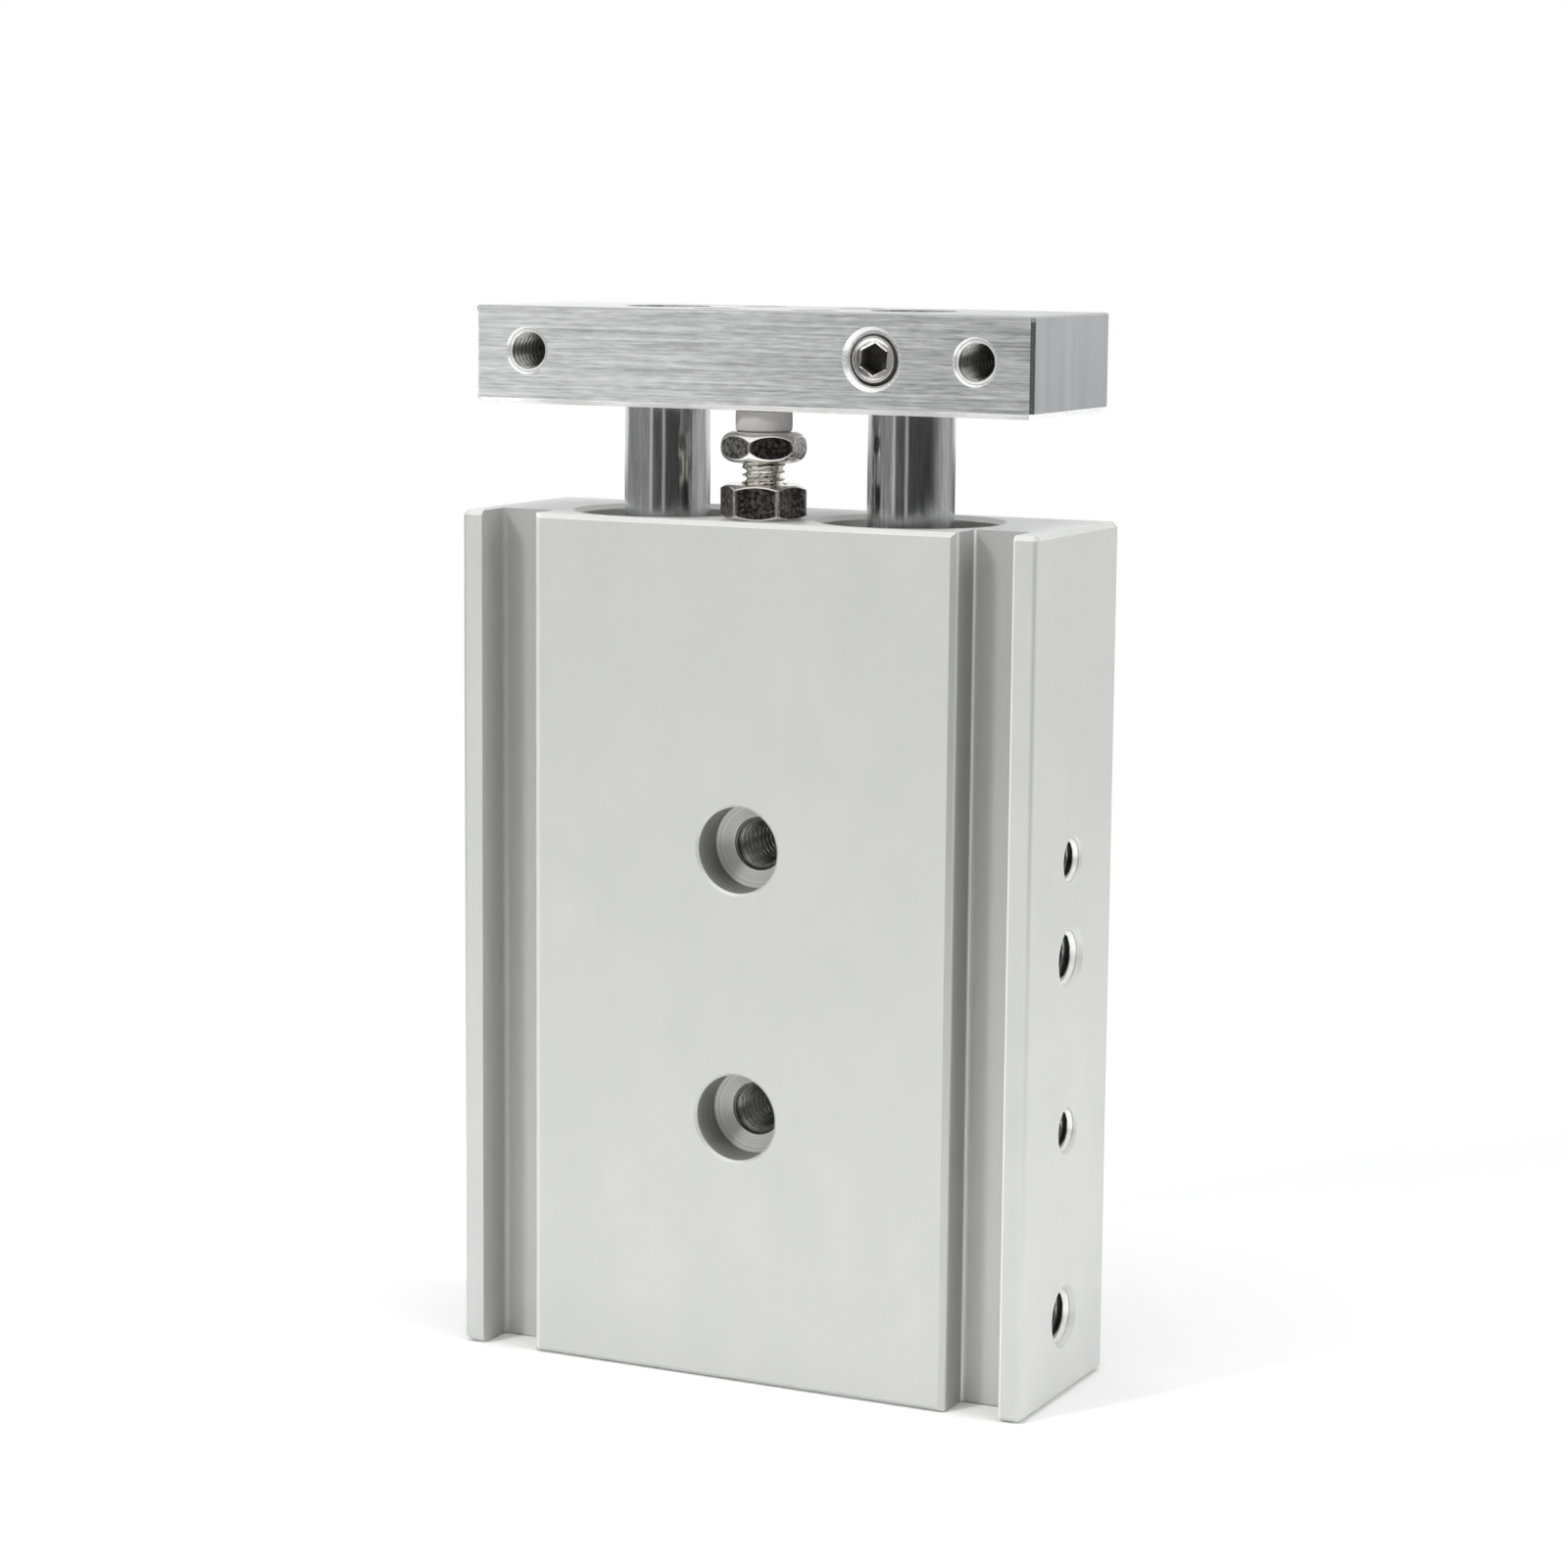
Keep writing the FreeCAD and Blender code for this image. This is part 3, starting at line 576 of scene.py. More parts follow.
# Magnets on the pistons. Rings of pressed and sintered ferrite, dark grey and slightly grainy, for
# the switches that go into the body's grooves.
FERRITE_DARK = (0.03, 0.03, 0.034, 1)
FERRITE_LIGHT = (0.07, 0.07, 0.075, 1)
coat("ferrite", two_tone(
    "sintered_ferrite", FERRITE_DARK, FERRITE_LIGHT, per_mm=8.0, metallic=0.2,
    rough=(0.5, 0.7), relief_mm=0.015,
))

# Piston rods. Ground steel bar, hard chromed and polished; a spigot below takes the piston. The
# left one ends in the plate under its cap screw, the right one passes through and has a flat for
# the set screw.
CHROME_DEEP = (0.48, 0.48, 0.485, 1)
CHROME_BRIGHT = (0.74, 0.74, 0.745, 1)
CHROME_ROUGH = (0.10, 0.18)
ROD_R = 4.0
ROD_EDGE, ROD_EDGE_SOFT = 0.4, 0.08
SPIGOT_R = 3.0
SPIGOT_LENGTH = 6.5
TAP_R = 2.0
TAP_DEPTH = 12.0
ROD_FLAT_DEPTH = 0.4
ROD_FLAT_LOW = 90.8
FLAT_AWAY = 0.05  # least turn towards the screw, so that the flat's formula stays finite
ROD_COLUMNS = 240
CORNER_POINTS = 5
UPWARDS = (0, 0, 1)


def z_span(node):
    """Lowest and highest height of a CAD node."""
    return (corner.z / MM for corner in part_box(node))


def softened(corners, size):
    """Outline with its corners rounded: each inner corner becomes a parabola that starts and ends
    the given distance along its two sides, in five points; the two ends stay as they are."""
    points = np.array(corners, float)
    middle = points[1:-1]
    unit = np.diff(points, axis=0)
    unit = unit / np.linalg.norm(unit, axis=1, keepdims=True)
    before, after = (middle - size * unit[:-1])[:, None], (middle + size * unit[1:])[:, None]
    t = np.linspace(0, 1, CORNER_POINTS)[None, :, None]
    curves = (1 - t) ** 2 * before + 2 * t * (1 - t) * middle[:, None] + t ** 2 * after
    return np.vstack([points[:1], curves.reshape(-1, 2), points[-1:]])


def ground_chrome():
    """Hard chrome over grinding: very fine lines round the rod smear what it mirrors along its
    length, and faint drawn streaks of tone run the other way."""
    made, tree, shader = new_material("ground_hard_chrome", metallic=1.0)
    lines = marks(tree, per_mm=(0.5, 0.5, 30.0), contrast=1.2)
    streaks = marks(tree, per_mm=(4.0, 4.0, 0.22), contrast=2.4)
    colour = blend(tree, streaks, CHROME_DEEP, CHROME_BRIGHT)
    shader.inputs["Anisotropic"].default_value = 0.75
    shader.inputs["Anisotropic Rotation"].default_value = 0.25
    dress(tree, shader, colour, between(tree, lines, *CHROME_ROUGH), lines, depth_mm=0.0008)
    return made


def finish_piece(piece, material, body, node):
    """Gives a new piece its material and lets it stand for a CAD node on that node's body."""
    piece.data.materials.append(material)
    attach(piece, body)
    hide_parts(node)


def piston_rod(name, side, head_tapped):
    """Rod turned from a blind tapped hole in its foot, over the spigot, up the ground length, to
    its chamfered end. The end has a second tapped hole, or else a flat on the front: the radius
    there is at most the flat's distance over the cosine of the angle from its middle."""
    low, high = z_span(name)
    shoulder = low + SPIGOT_LENGTH
    outside = softened([
        (TAP_R, low), (SPIGOT_R, low), (SPIGOT_R, shoulder), (ROD_R, shoulder),
        (ROD_R, high - ROD_EDGE), (ROD_R - ROD_EDGE, high), (TAP_R, high),
    ], ROD_EDGE_SOFT)
    steps = [(TAP_R, low + TAP_DEPTH)] + outside.tolist()
    angle = round_angles(ROD_COLUMNS)
    if head_tapped:
        radius, height = rings(steps + [(TAP_R, high - TAP_DEPTH)], ROD_COLUMNS)
    else:
        start = int(np.argmax(np.array(steps)[:, 1] > ROD_FLAT_LOW))
        steps[start:start] = [(ROD_R, ROD_FLAT_LOW)] * 2
        radius, height = rings(steps, ROD_COLUMNS)
        flat = (ROD_R - ROD_FLAT_DEPTH) / np.clip(-np.sin(angle), FLAT_AWAY, 1)
        radius[start + 1:] = np.minimum(radius[start + 1:], flat)
    rod = lathe(name + "_ground", radius, height, angle, (side * ROD_X, 0, 0), UPWARDS)
    finish_piece(rod, HARD_CHROME, "slider", name)


HARD_CHROME = ground_chrome()
piston_rod("left_piston_rod", -1, head_tapped=True)
piston_rod("right_piston_rod", 1, head_tapped=False)
coat("hard_chrome", HARD_CHROME)

# Lock nut and stop bolt between the rods. Nickel-plated steel: a hexagon nut chamfered on both
# faces, and a hexagon bolt whose cold-formed head is domed on both sides. The bolt screws into
# the body, its thread shows between nut and head.
# The dark flats and bright NICKEL_EDGE are a painted reflection, with painted highlights on the
# corners; the specks are the plating's own.
NICKEL_FLAT = (0.10, 0.097, 0.085, 1)
NICKEL_SPECK = (0.43, 0.415, 0.375, 1)
NICKEL_EDGE = (0.88, 0.865, 0.82, 1)
NICKEL_ROUGH = (0.09, 0.19)
REFLECTION_SLOPE = (0.10, 0.34)
STOP_Y = -5.0
STOP_FLATS = 7.0
STOP_CORNER = STOP_FLATS / math.sqrt(3)
HEX_COLUMNS = 180
CORNER_SHINE = 0.32
NUT_TURN = 15.0
NUT_FACE_R = 3.3
NUT_CHAMFER = math.radians(30)
NUT_ROWS = 14
NUT_SOFT = 0.12
NUT_HOLE_R, NUT_HOLE_EDGE = 2.06, 0.3
HEAD_TURN = 37.0
HEAD_HEIGHT = 2.8
HEAD_LAND_R, HEAD_LAND_EDGE = 2.7, 0.1
HEAD_ROWS = 41
HEAD_SOFT = 0.16
BOLT_R = 1.98
M4_POINT = ((1.4, 0.0), (1.7, 0.3))  # radius and height over the screw's foot
M4_START = 0.35
BOLT_RUN_OUT = 0.05
SCREW_DEPTH = 0.61  # of a pitch
SCREW_LEAD = 0.3  # of that depth at the thread's start
SCREW_ROWS = 12  # to a pitch
STEM_HOLE_R = 1.25
STEM_HOLE_DEPTH = 1.55


def six_flats(flats, angle, start_deg):
    """Radius of a hexagon at each angle: half its width over the cosine of the angle from the
    nearest flat's middle. Its corners stand at the starting angle and every 60 degrees."""
    from_flat = (angle - math.radians(start_deg)) % (math.pi / 3) - math.pi / 6
    return flats / 2 / np.cos(from_flat)


def soft_min(first, second, blend_mm):
    """The smaller of two lengths, rounded where they cross over about the given length."""
    gap = np.clip(blend_mm - np.abs(first - second), 0, None) / blend_mm
    return np.minimum(first, second) - gap ** 2 * blend_mm / 4


# The corner marks carry a painted highlight down each corner of the hexagon.
def shine_corners(piece, angle, start_deg, rows):
    """Marks the rows of a hexagon near its six corners: 1 at a corner, falling evenly to 0 beside
    it."""
    from_start = angle - math.radians(start_deg)
    from_corner = np.abs((from_start + math.pi / 6) % (math.pi / 3) - math.pi / 6)
    near = np.clip(1 - from_corner * STOP_CORNER / CORNER_SHINE, 0, 1)
    mark_points(piece, "corner", np.tile(near, rows))


def m4_point(low):
    """Rows of the short cone at the foot of a small screw."""
    return rings([(radius, low + rise) for radius, rise in M4_POINT], HEX_COLUMNS)


def screw_thread(low, high, crest, pitch, angle):
    """Rows of an outside thread: radius falls from the crest by the helix wave, with the run-out
    fading to a plain shank over one pitch at the top."""
    height = np.linspace(low, high, int((high - low) / pitch * SCREW_ROWS))[:, None] + 0 * angle
    lead = np.clip((height - low) / pitch + SCREW_LEAD, 0, 1)
    fade = np.clip((high - height) / pitch, 0, 1) * lead
    return crest - SCREW_DEPTH * pitch * (1 - helix_wave(height, angle, pitch)) * fade, height


def nickel_plate():
    """Nickel over cold-formed steel with a speckled skin: the upright flats are painted dark and
    the faces that slope up or down, such as chamfers, domes and threads, painted bright as a
    painted reflection, with a painted highlight down the hexagons' corners."""
    made, tree, shader = new_material("nickel_painted_reflection", metallic=1.0)
    speck = marks(tree, per_mm=(2.6, 2.6, 2.6), contrast=5.0)
    upright = calc(tree, "ABSOLUTE", axes_of(tree, "Normal")[2])
    sloped = ramp(tree, upright, *REFLECTION_SLOPE)
    painted_reflection = calc(tree, "MAXIMUM", sloped, marked(tree, "corner"))
    skin = blend(tree, speck, NICKEL_FLAT, NICKEL_SPECK)
    colour = blend(tree, painted_reflection, skin, NICKEL_EDGE)
    dress(tree, shader, colour, between(tree, speck, *NICKEL_ROUGH), speck, depth_mm=0.004)
    return made


def lock_nut():
    """Nut: a loop up the chamfered outside and down the hole, the outside cut by the hexagon."""
    low, high = z_span("lock_nut")
    edge = (STOP_CORNER - NUT_FACE_R) * math.tan(NUT_CHAMFER)
    angle = round_angles(HEX_COLUMNS, NUT_TURN)
    slope = np.linspace(0, 1, NUT_ROWS)
    cone_r = NUT_FACE_R + slope * (STOP_CORNER - NUT_FACE_R)
    foot = np.column_stack([cone_r, low + slope * edge])
    side = np.linspace(low + edge, high - edge, NUT_ROWS)[1:-1]
    wall = np.column_stack([np.full_like(side, STOP_CORNER), side])
    top = np.column_stack([cone_r[::-1], high - edge + slope * edge])
    mouth_r = NUT_HOLE_R + NUT_HOLE_EDGE
    hole = [
        (mouth_r, high), (NUT_HOLE_R, high - NUT_HOLE_EDGE),
        (NUT_HOLE_R, low + NUT_HOLE_EDGE), (mouth_r, low),
    ]
    radius, height = rings(np.vstack([foot, wall, top, hole]), HEX_COLUMNS)
    outer = len(radius) - len(hole)
    flats = six_flats(STOP_FLATS, angle, NUT_TURN)[None, :]
    radius[:outer] = soft_min(radius[:outer], flats, NUT_SOFT)
    nut = lathe("lock_nut_plated", radius, height, angle, (0, STOP_Y, 0), UPWARDS, hollow=True)
    shine_corners(nut, angle, NUT_TURN, outer)
    return nut


def stop_bolt():
    """Bolt: pointed thread end, thread, domed hexagon head cut from an arc by the flats, and the
    blind hole in its top that holds the pad's stem."""
    low, high = z_span("stop_bolt")
    head_low, half = high - HEAD_HEIGHT, HEAD_HEIGHT / 2
    swell = STOP_CORNER - HEAD_LAND_R
    arc_r = (half ** 2 + swell ** 2) / (2 * swell)
    reach = math.asin(half / arc_r)
    angle = round_angles(HEX_COLUMNS, HEAD_TURN)
    lift = np.linspace(-reach, reach, HEAD_ROWS)[:, None] + 0 * angle
    dome = STOP_CORNER - arc_r + arc_r * np.cos(lift)
    head_r = soft_min(dome, six_flats(STOP_FLATS, angle, HEAD_TURN)[None, :], HEAD_SOFT)
    neck = [(BOLT_R, head_low), (HEAD_LAND_R - HEAD_LAND_EDGE, head_low)]
    stem_hole = [(STEM_HOLE_R, high), (STEM_HOLE_R, high - STEM_HOLE_DEPTH)]
    radius, height = stacked(
        m4_point(low),
        screw_thread(low + M4_START, head_low - BOLT_RUN_OUT, BOLT_R, COARSE_PITCH[M4], angle),
        rings(neck, HEX_COLUMNS),
        (head_r, (head_low + high) / 2 + arc_r * np.sin(lift)),
        rings(stem_hole, HEX_COLUMNS),
    )
    bolt = lathe("stop_bolt_plated", radius, height, angle, (0, STOP_Y, 0), UPWARDS)
    shine_corners(bolt, angle, HEAD_TURN, len(radius))
    return bolt


NICKEL_PLATE = nickel_plate()
coat("nickel_plate", NICKEL_PLATE)
finish_piece(lock_nut(), NICKEL_PLATE, "housing", "lock_nut")
finish_piece(stop_bolt(), NICKEL_PLATE, "stop_screw", "stop_bolt")

# Pads. Moulded polyurethane, matt and warm grey: the stop pad pressed by its stem into the bolt's
# head, and a ring on each piston.
PAD_GREY = (0.42, 0.41, 0.395, 1)
PAD_PALE = (0.52, 0.51, 0.49, 1)
PAD_R = 2.6
PAD_HEIGHT = 2.0
PAD_BULGE = 0.03
PAD_FOOT_IN, PAD_FACE_IN = 0.22, 0.3
PAD_FOOT_EDGE, PAD_EDGES = 0.12, 0.3  # the lower edge's height, and both together
PAD_SOFT = 0.05
PAD_ROWS, PAD_COLUMNS = 9, 96
STEM_R, STEM_EDGE = 1.2, 0.15


def stop_pad():
    """Pad: stem, underside and a side that bulges by a hair in a parabola, all edges rounded."""
    low, high = z_span("stop_bumper")
    seat = high - PAD_HEIGHT
    rise = np.linspace(0, 1, PAD_ROWS)
    side_r = PAD_R - PAD_BULGE * (2 * rise - 1) ** 2
    side_z = seat + PAD_FOOT_EDGE + rise * (high - seat - PAD_EDGES)
    stem = softened([
        (STEM_R - STEM_EDGE, low), (STEM_R, low + STEM_EDGE), (STEM_R, seat),
        (PAD_R - PAD_FOOT_IN, seat),
    ], PAD_SOFT)
    outline = np.vstack([stem, np.column_stack([side_r, side_z]), [(PAD_R - PAD_FACE_IN, high)]])
    radius, height = rings(outline, PAD_COLUMNS)
    angle = round_angles(PAD_COLUMNS)
    return lathe("stop_pad", radius, height, angle, (0, STOP_Y, 0), UPWARDS)


PAD = two_tone(
    "moulded_polyurethane", PAD_GREY, PAD_PALE, per_mm=1.6, metallic=0.0,
    rough=(0.55, 0.7), relief_mm=0.01,
)
coat("polyurethane", PAD)
finish_piece(stop_pad(), PAD, "stop_pad", "stop_bumper")

# Tool plate. A length of flat aluminium bar, brushed along its length on every face, its edges
# broken and its holes tapped.
PLATE_DEEP = (0.30, 0.302, 0.304, 1)
PLATE_PALE = (0.90, 0.902, 0.904, 1)
# Rim tones painted by how the rims face: PLATE_RIM a painted highlight, PLATE_TOP_RIM grey on top,
# PLATE_CORNER a painted shade at the right end.
PLATE_RIM = (0.90, 0.90, 0.90, 1)
PLATE_TOP_RIM = (0.40, 0.40, 0.40, 1)
PLATE_CORNER = (0.13, 0.13, 0.13, 1)
SAWN_DEEP = (0.36, 0.368, 0.376, 1)
SAWN_PALE = (0.46, 0.468, 0.476, 1)
STROKE_SHARE, HAIR_SHARE, SCUFF_SHARE = 0.36, 0.32, 0.32
# Painted light added to the plate's tone at its left end and painted shade at its right end.
LEFT_PAINTED_LIGHT, RIGHT_PAINTED_SHADE = 0.22, -0.26
BRUSHED_ROUGH = (0.28, 0.42)
PLATE_RIM_POLISH = -0.12
PLATE_RIM_BAND = 0.5
NEAR_LEVEL = 0.3
PLATE_LOW, PLATE_HIGH = z_span("tool_plate")
PLATE_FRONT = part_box("tool_plate")[0].y / MM
PLATE_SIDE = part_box("tool_plate")[1].x / MM
PLATE_HOLE_Z = PLATE_LOW + 4.9
PLATE_HOLE_X = 22.5
PLATE_INSET = 0.25
TOOL_HOLE, TOOL_THREAD = 5.0, 5.6
CLAMP_THREAD, CLAMP_INSET = 0.45, 0.38


def brushed_plate():
    """Brushed aluminium: long strokes along X with finer hairs and short scuffs between them, paler
    on the left as a painted light and greyer to the right as a painted shade, sawn ends with
    upright
    bands, and rims painted by how they face: a painted highlight below and at the left end, grey on
    top, and a painted shade on the upright rims of the right end."""
    made, tree, shader = new_material("brushed_aluminium", metallic=0.5)
    strokes = marks(tree, per_mm=(0.045, 3.0, 3.0), contrast=2.6)
    hairs = marks(tree, per_mm=(0.14, 6.5, 6.5), contrast=3.4)
    scuffs = marks(tree, per_mm=(0.45, 4.0, 4.0), contrast=3.6)
    bands = marks(tree, per_mm=(0.5, 0.45, 0.03), contrast=2.2)
    lines = calc(tree, "MULTIPLY_ADD", strokes, STROKE_SHARE, times(tree, hairs, HAIR_SHARE))
    tone = calc(tree, "MULTIPLY_ADD", scuffs, SCUFF_SHARE, lines)
    at, along = axes_of(tree, "Object"), axes_of(tree, "Normal")
    # Painted light on the left, fading to painted shade on the right.
    way = ramp(tree, at[0], -PLATE_SIDE * MM, PLATE_SIDE * MM)
    painted_light_tone = calc(tree, "ADD", tone, between(tree, way, LEFT_PAINTED_LIGHT, RIGHT_PAINTED_SHADE))
    brushed = blend(tree, painted_light_tone, PLATE_DEEP, PLATE_PALE)
    sawn = blend(tree, bands, SAWN_DEEP, SAWN_PALE)
    end = calc(tree, "GREATER_THAN", calc(tree, "ABSOLUTE", along[0]), SQUARE_ON)
    level = calc(tree, "LESS_THAN", calc(tree, "ABSOLUTE", along[2]), NEAR_LEVEL)
    corner = calc(tree, "GREATER_THAN", at[0], (PLATE_SIDE - PLATE_RIM_BAND) * MM)
    upper = calc(tree, "GREATER_THAN", at[2], (PLATE_HIGH - PLATE_RIM_BAND) * MM)
    # Painted highlight on the rims, painted shade on the right end's upright rims, grey on the top
    # rims.
    side_rims = blend(tree, times(tree, level, corner), PLATE_RIM, PLATE_CORNER)
    rims = blend(tree, upper, side_rims, PLATE_TOP_RIM)
    rim_shading_and_polish = rim(tree)
    colour = blend(tree, rim_shading_and_polish, blend(tree, end, brushed, sawn), rims)
    softness = between(tree, hairs, *BRUSHED_ROUGH)
    roughness = calc(tree, "MULTIPLY_ADD", rim_shading_and_polish, PLATE_RIM_POLISH, softness)
    height = blend(tree, calc(tree, "MAXIMUM", end, rim_shading_and_polish), tone, bands)
    dress(tree, shader, colour, roughness, height, depth_mm=0.012)
    return made


coat("brushed_plate", brushed_plate())
for side, way in (("left", -1), ("right", 1)):
    tapped_wall(
        f"plate_{side}_thread", "slider", M4, -2 * PLATE_FRONT - 2 * PLATE_INSET,
        (way * PLATE_HOLE_X, PLATE_FRONT + PLATE_INSET, PLATE_HOLE_Z), (0, 1, 0),
    )
    for place, depth_way in (("front", -1), ("back", 1)):
        tapped_wall(
            f"plate_top_{side}_{place}_thread", "slider", M4, TOOL_THREAD,
            (way * TOOL_HOLE, depth_way * TOOL_HOLE, PLATE_HIGH - PLATE_INSET), (0, 0, -1),
        )
tapped_wall(
    "plate_clamp_thread", "slider", M5, CLAMP_THREAD,
    (ROD_X, PLATE_FRONT + CLAMP_INSET, PLATE_HOLE_Z), (0, 1, 0),
)

# Screws of the plate. Alloy steel, plated bright, with painted shade in the socket and on the
# headless screw's chamfer ring: a cap screw from the top into the left rod and a headless screw
# from the front against the right rod's flat.
SCREW_DEEP = (0.66, 0.655, 0.63, 1)
SCREW_PALE = (0.94, 0.93, 0.90, 1)
# The socket tones are painted shade.
SOCKET_SHADE = (0.022, 0.022, 0.018, 1)
SOCKET_SHADE_PALE = (0.11, 0.11, 0.098, 1)
SOCKET_RUN, SOCKET_FLOOR_EDGE, SOCKET_FLOOR = 0.12, 0.08, 0.94
SOCKET_SOFT = 0.05
SOCKET_ROWS = 3
CAP_KEY = 3.0
CAP_THREAD_R, CAP_RUN_OUT = 1.96, 0.1
CAP_HEAD_R, CAP_HEAD_HEIGHT, CAP_FACE_R = 3.5, 4.0, 2.2
CAP_EDGE, CAP_EDGE_SOFT = 0.35, 0.1
SET_KEY = 2.5
SET_TURN = 26.0
SET_DISH = 0.13
SET_THREAD_R, SET_THREAD_TOP = 2.46, -1.05
SET_POINT = ((1.9, 0.0), (2.1, 0.25))  # radius and height over the screw's foot
SET_START = 0.3
SET_FACE = ((SET_THREAD_R, -1.0), (SET_THREAD_R, -0.95), (2.05, 0), (1.88, 0), (1.60, -SET_DISH))
SET_FACE_SOFT = 0.04
SET_CHAMFER_ROWS, SET_FACE_ROWS = 7, 14


def socket_rows(key, top, depth, lead, angle, turn_deg):
    """Rows down a hexagon socket from its round lead-in: the rim, the six walls and the flat
    floor."""
    walls = six_flats(key, angle, turn_deg)
    mouth = np.full_like(angle, key / math.sqrt(3) + lead)
    entry = soft_min(walls, mouth, SOCKET_SOFT)
    radius = np.vstack([mouth, entry, walls, walls, walls * SOCKET_FLOOR])
    down = np.array([0, lead, lead + SOCKET_RUN, depth - SOCKET_FLOOR_EDGE, depth])
    return radius, np.repeat(top - down[:, None], len(angle), axis=1)


def recoat(screw, slot, rows, after):
    """Gives some of a screw's rows of faces, counted back from its socket's floor, another of its
    materials. Rows counted from the floor itself take the floor along."""
    quads = len(screw.data.polygons) - 2 * HEX_COLUMNS
    slots = np.zeros(len(screw.data.polygons), dtype=np.int32)
    screw.data.polygons.foreach_get("material_index", slots)
    slots[quads - (after + rows) * HEX_COLUMNS:quads - after * HEX_COLUMNS] = slot
    if after == 0:
        slots[-HEX_COLUMNS:] = slot
    screw.data.polygons.foreach_set("material_index", slots)


def cap_screw():
    """Cap screw: threaded shank, a cylindrical head with rounded rim, and its socket."""
    low, high = z_span("rod_cap_screw")
    seat = high - CAP_HEAD_HEIGHT
    angle = round_angles(HEX_COLUMNS)
    head = softened([
        (CAP_THREAD_R, seat), (CAP_HEAD_R, seat), (CAP_HEAD_R, high - CAP_EDGE),
        (CAP_HEAD_R - CAP_EDGE, high), (CAP_FACE_R, high),
    ], CAP_EDGE_SOFT)
    shank = (low + M4_START, seat - CAP_RUN_OUT, CAP_THREAD_R, COARSE_PITCH[M4])
    radius, height = stacked(
        m4_point(low),
        screw_thread(*shank, angle),
        rings(head, HEX_COLUMNS),
        socket_rows(CAP_KEY, high, depth=2.2, lead=0.15, angle=angle, turn_deg=0.0),
    )
    return lathe("rod_cap_screw_plated", radius, height, angle, (-ROD_X, 0, 0), UPWARDS)


def set_screw():
    """Set screw: flat point, thread, chamfer, a face dished towards its socket, turned to the
    front."""
    low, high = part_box("rod_set_screw")
    foot = -(high.y - low.y) / MM
    angle = round_angles(HEX_COLUMNS)
    point = [(radius, foot + rise) for radius, rise in SET_POINT]
    shank = (foot + SET_START, SET_THREAD_TOP, SET_THREAD_R, COARSE_PITCH[M5])
    radius, height = stacked(
        rings(point, HEX_COLUMNS),
        screw_thread(*shank, angle),
        rings(softened(SET_FACE, SET_FACE_SOFT), HEX_COLUMNS),
        socket_rows(SET_KEY, -SET_DISH, depth=2.0, lead=0.10, angle=angle, turn_deg=SET_TURN),
    )
    front = (ROD_X, low.y / MM, PLATE_HOLE_Z)
    return lathe("rod_set_screw_plated", radius, height, angle, front, (0, -1, 0))


SCREW_STEEL = two_tone(
    "plated_screw", SCREW_DEEP, SCREW_PALE, per_mm=4.0, metallic=1.0,
    rough=(0.14, 0.26), relief_mm=0.004,
)
PAINTED_SHADE_STEEL = two_tone(
    "painted_shade_steel", SOCKET_SHADE, SOCKET_SHADE_PALE, per_mm=3.0, metallic=0.0,
    rough=(0.4, 0.55), relief_mm=0.006, specular=0.2,
)
clamp_screw = set_screw()
for screw, node in ((cap_screw(), "rod_cap_screw"), (clamp_screw, "rod_set_screw")):
    finish_piece(screw, SCREW_STEEL, "slider", node)
    screw.data.materials.append(PAINTED_SHADE_STEEL)
    recoat(screw, 1, SOCKET_ROWS, 0)
# The headless screw's chamfer ring takes the socket's painted shade too, for the gap round it.
recoat(clamp_screw, 1, SET_CHAMFER_ROWS, SET_FACE_ROWS)

# Studio. A white floor that fades into a white room, a curved grey surround that only polished
# metal sees, and soft lamps: one from the front left, one from the right, one overhead. Lengths
# here are in metres.
FLOOR_WHITE = (0.93, 0.93, 0.93, 1)
WHITE = (1, 1, 1, 1)
FLOOR_HUB, FLOOR_R, FLOOR_Z = 0.0002, 4.0, -0.0001
FLOOR_FADE = (0.10, 0.34)
SHEET_ROWS, SHEET_COLUMNS = 24, 256
SURROUND_R = 0.26
SURROUND_FOOT = -0.002
SURROUND_TOP = 0.22
SURROUND_BACK_TOP = 0.07
SURROUND_FRONT = 25.9
SURROUND_EASE = 0.75
SURROUND = [  # azimuth in degrees from the front, and tone
    (-180, 0.16), (-150, 0.16), (-115, 0.18), (-95, 0.30), (-60, 0.31), (-30, 0.32), (-25, 0.34),
    (-22, 0.68), (-18, 0.66), (-15, 0.14), (0, 0.10), (9, 0.08), (12, 0.52), (16, 0.52),
    (19, 0.07), (75, 0.05), (85, 0.14), (105, 0.44), (130, 0.56), (150, 0.42), (165, 0.20),
    (180, 0.16),
]
ROOM_FILL = 0.30
LAMP_AIM = Vector((0, 0, 0.05))
LAMPS = [  # name, azimuth and elevation in degrees, distance and size in metres, power in watts
    ("front_left_lamp", -28, 34, 0.9, 0.10, 3.6),
    ("right_lamp", 86, 22, 0.9, 0.5, 4.4),
    ("overhead_lamp", 10, 86, 1.0, 0.8, 7.4),
]


def polar_sheet(name, inner, outer, low, high):
    """Round sheet between two radii and two heights, both changing evenly from its first ring; the
    second height may differ from column to column."""
    step = np.linspace(0, 1, SHEET_ROWS)[:, None]
    angle = round_angles(SHEET_COLUMNS)[None, :]
    reach = inner + (outer - inner) * step
    rise = low + (high - low) * step + 0 * angle
    points = np.stack([reach * np.cos(angle), reach * np.sin(angle), rise], axis=-1)
    index = np.arange(SHEET_ROWS * SHEET_COLUMNS).reshape(SHEET_ROWS, SHEET_COLUMNS)
    turn = np.roll(index, -1, axis=1)
    quads = np.stack([index[:-1], index[1:], turn[1:], turn[:-1]], axis=-1)
    sheet = new_piece(name, points.reshape(-1, 3), quads.reshape(-1, 4).tolist())
    return sheet


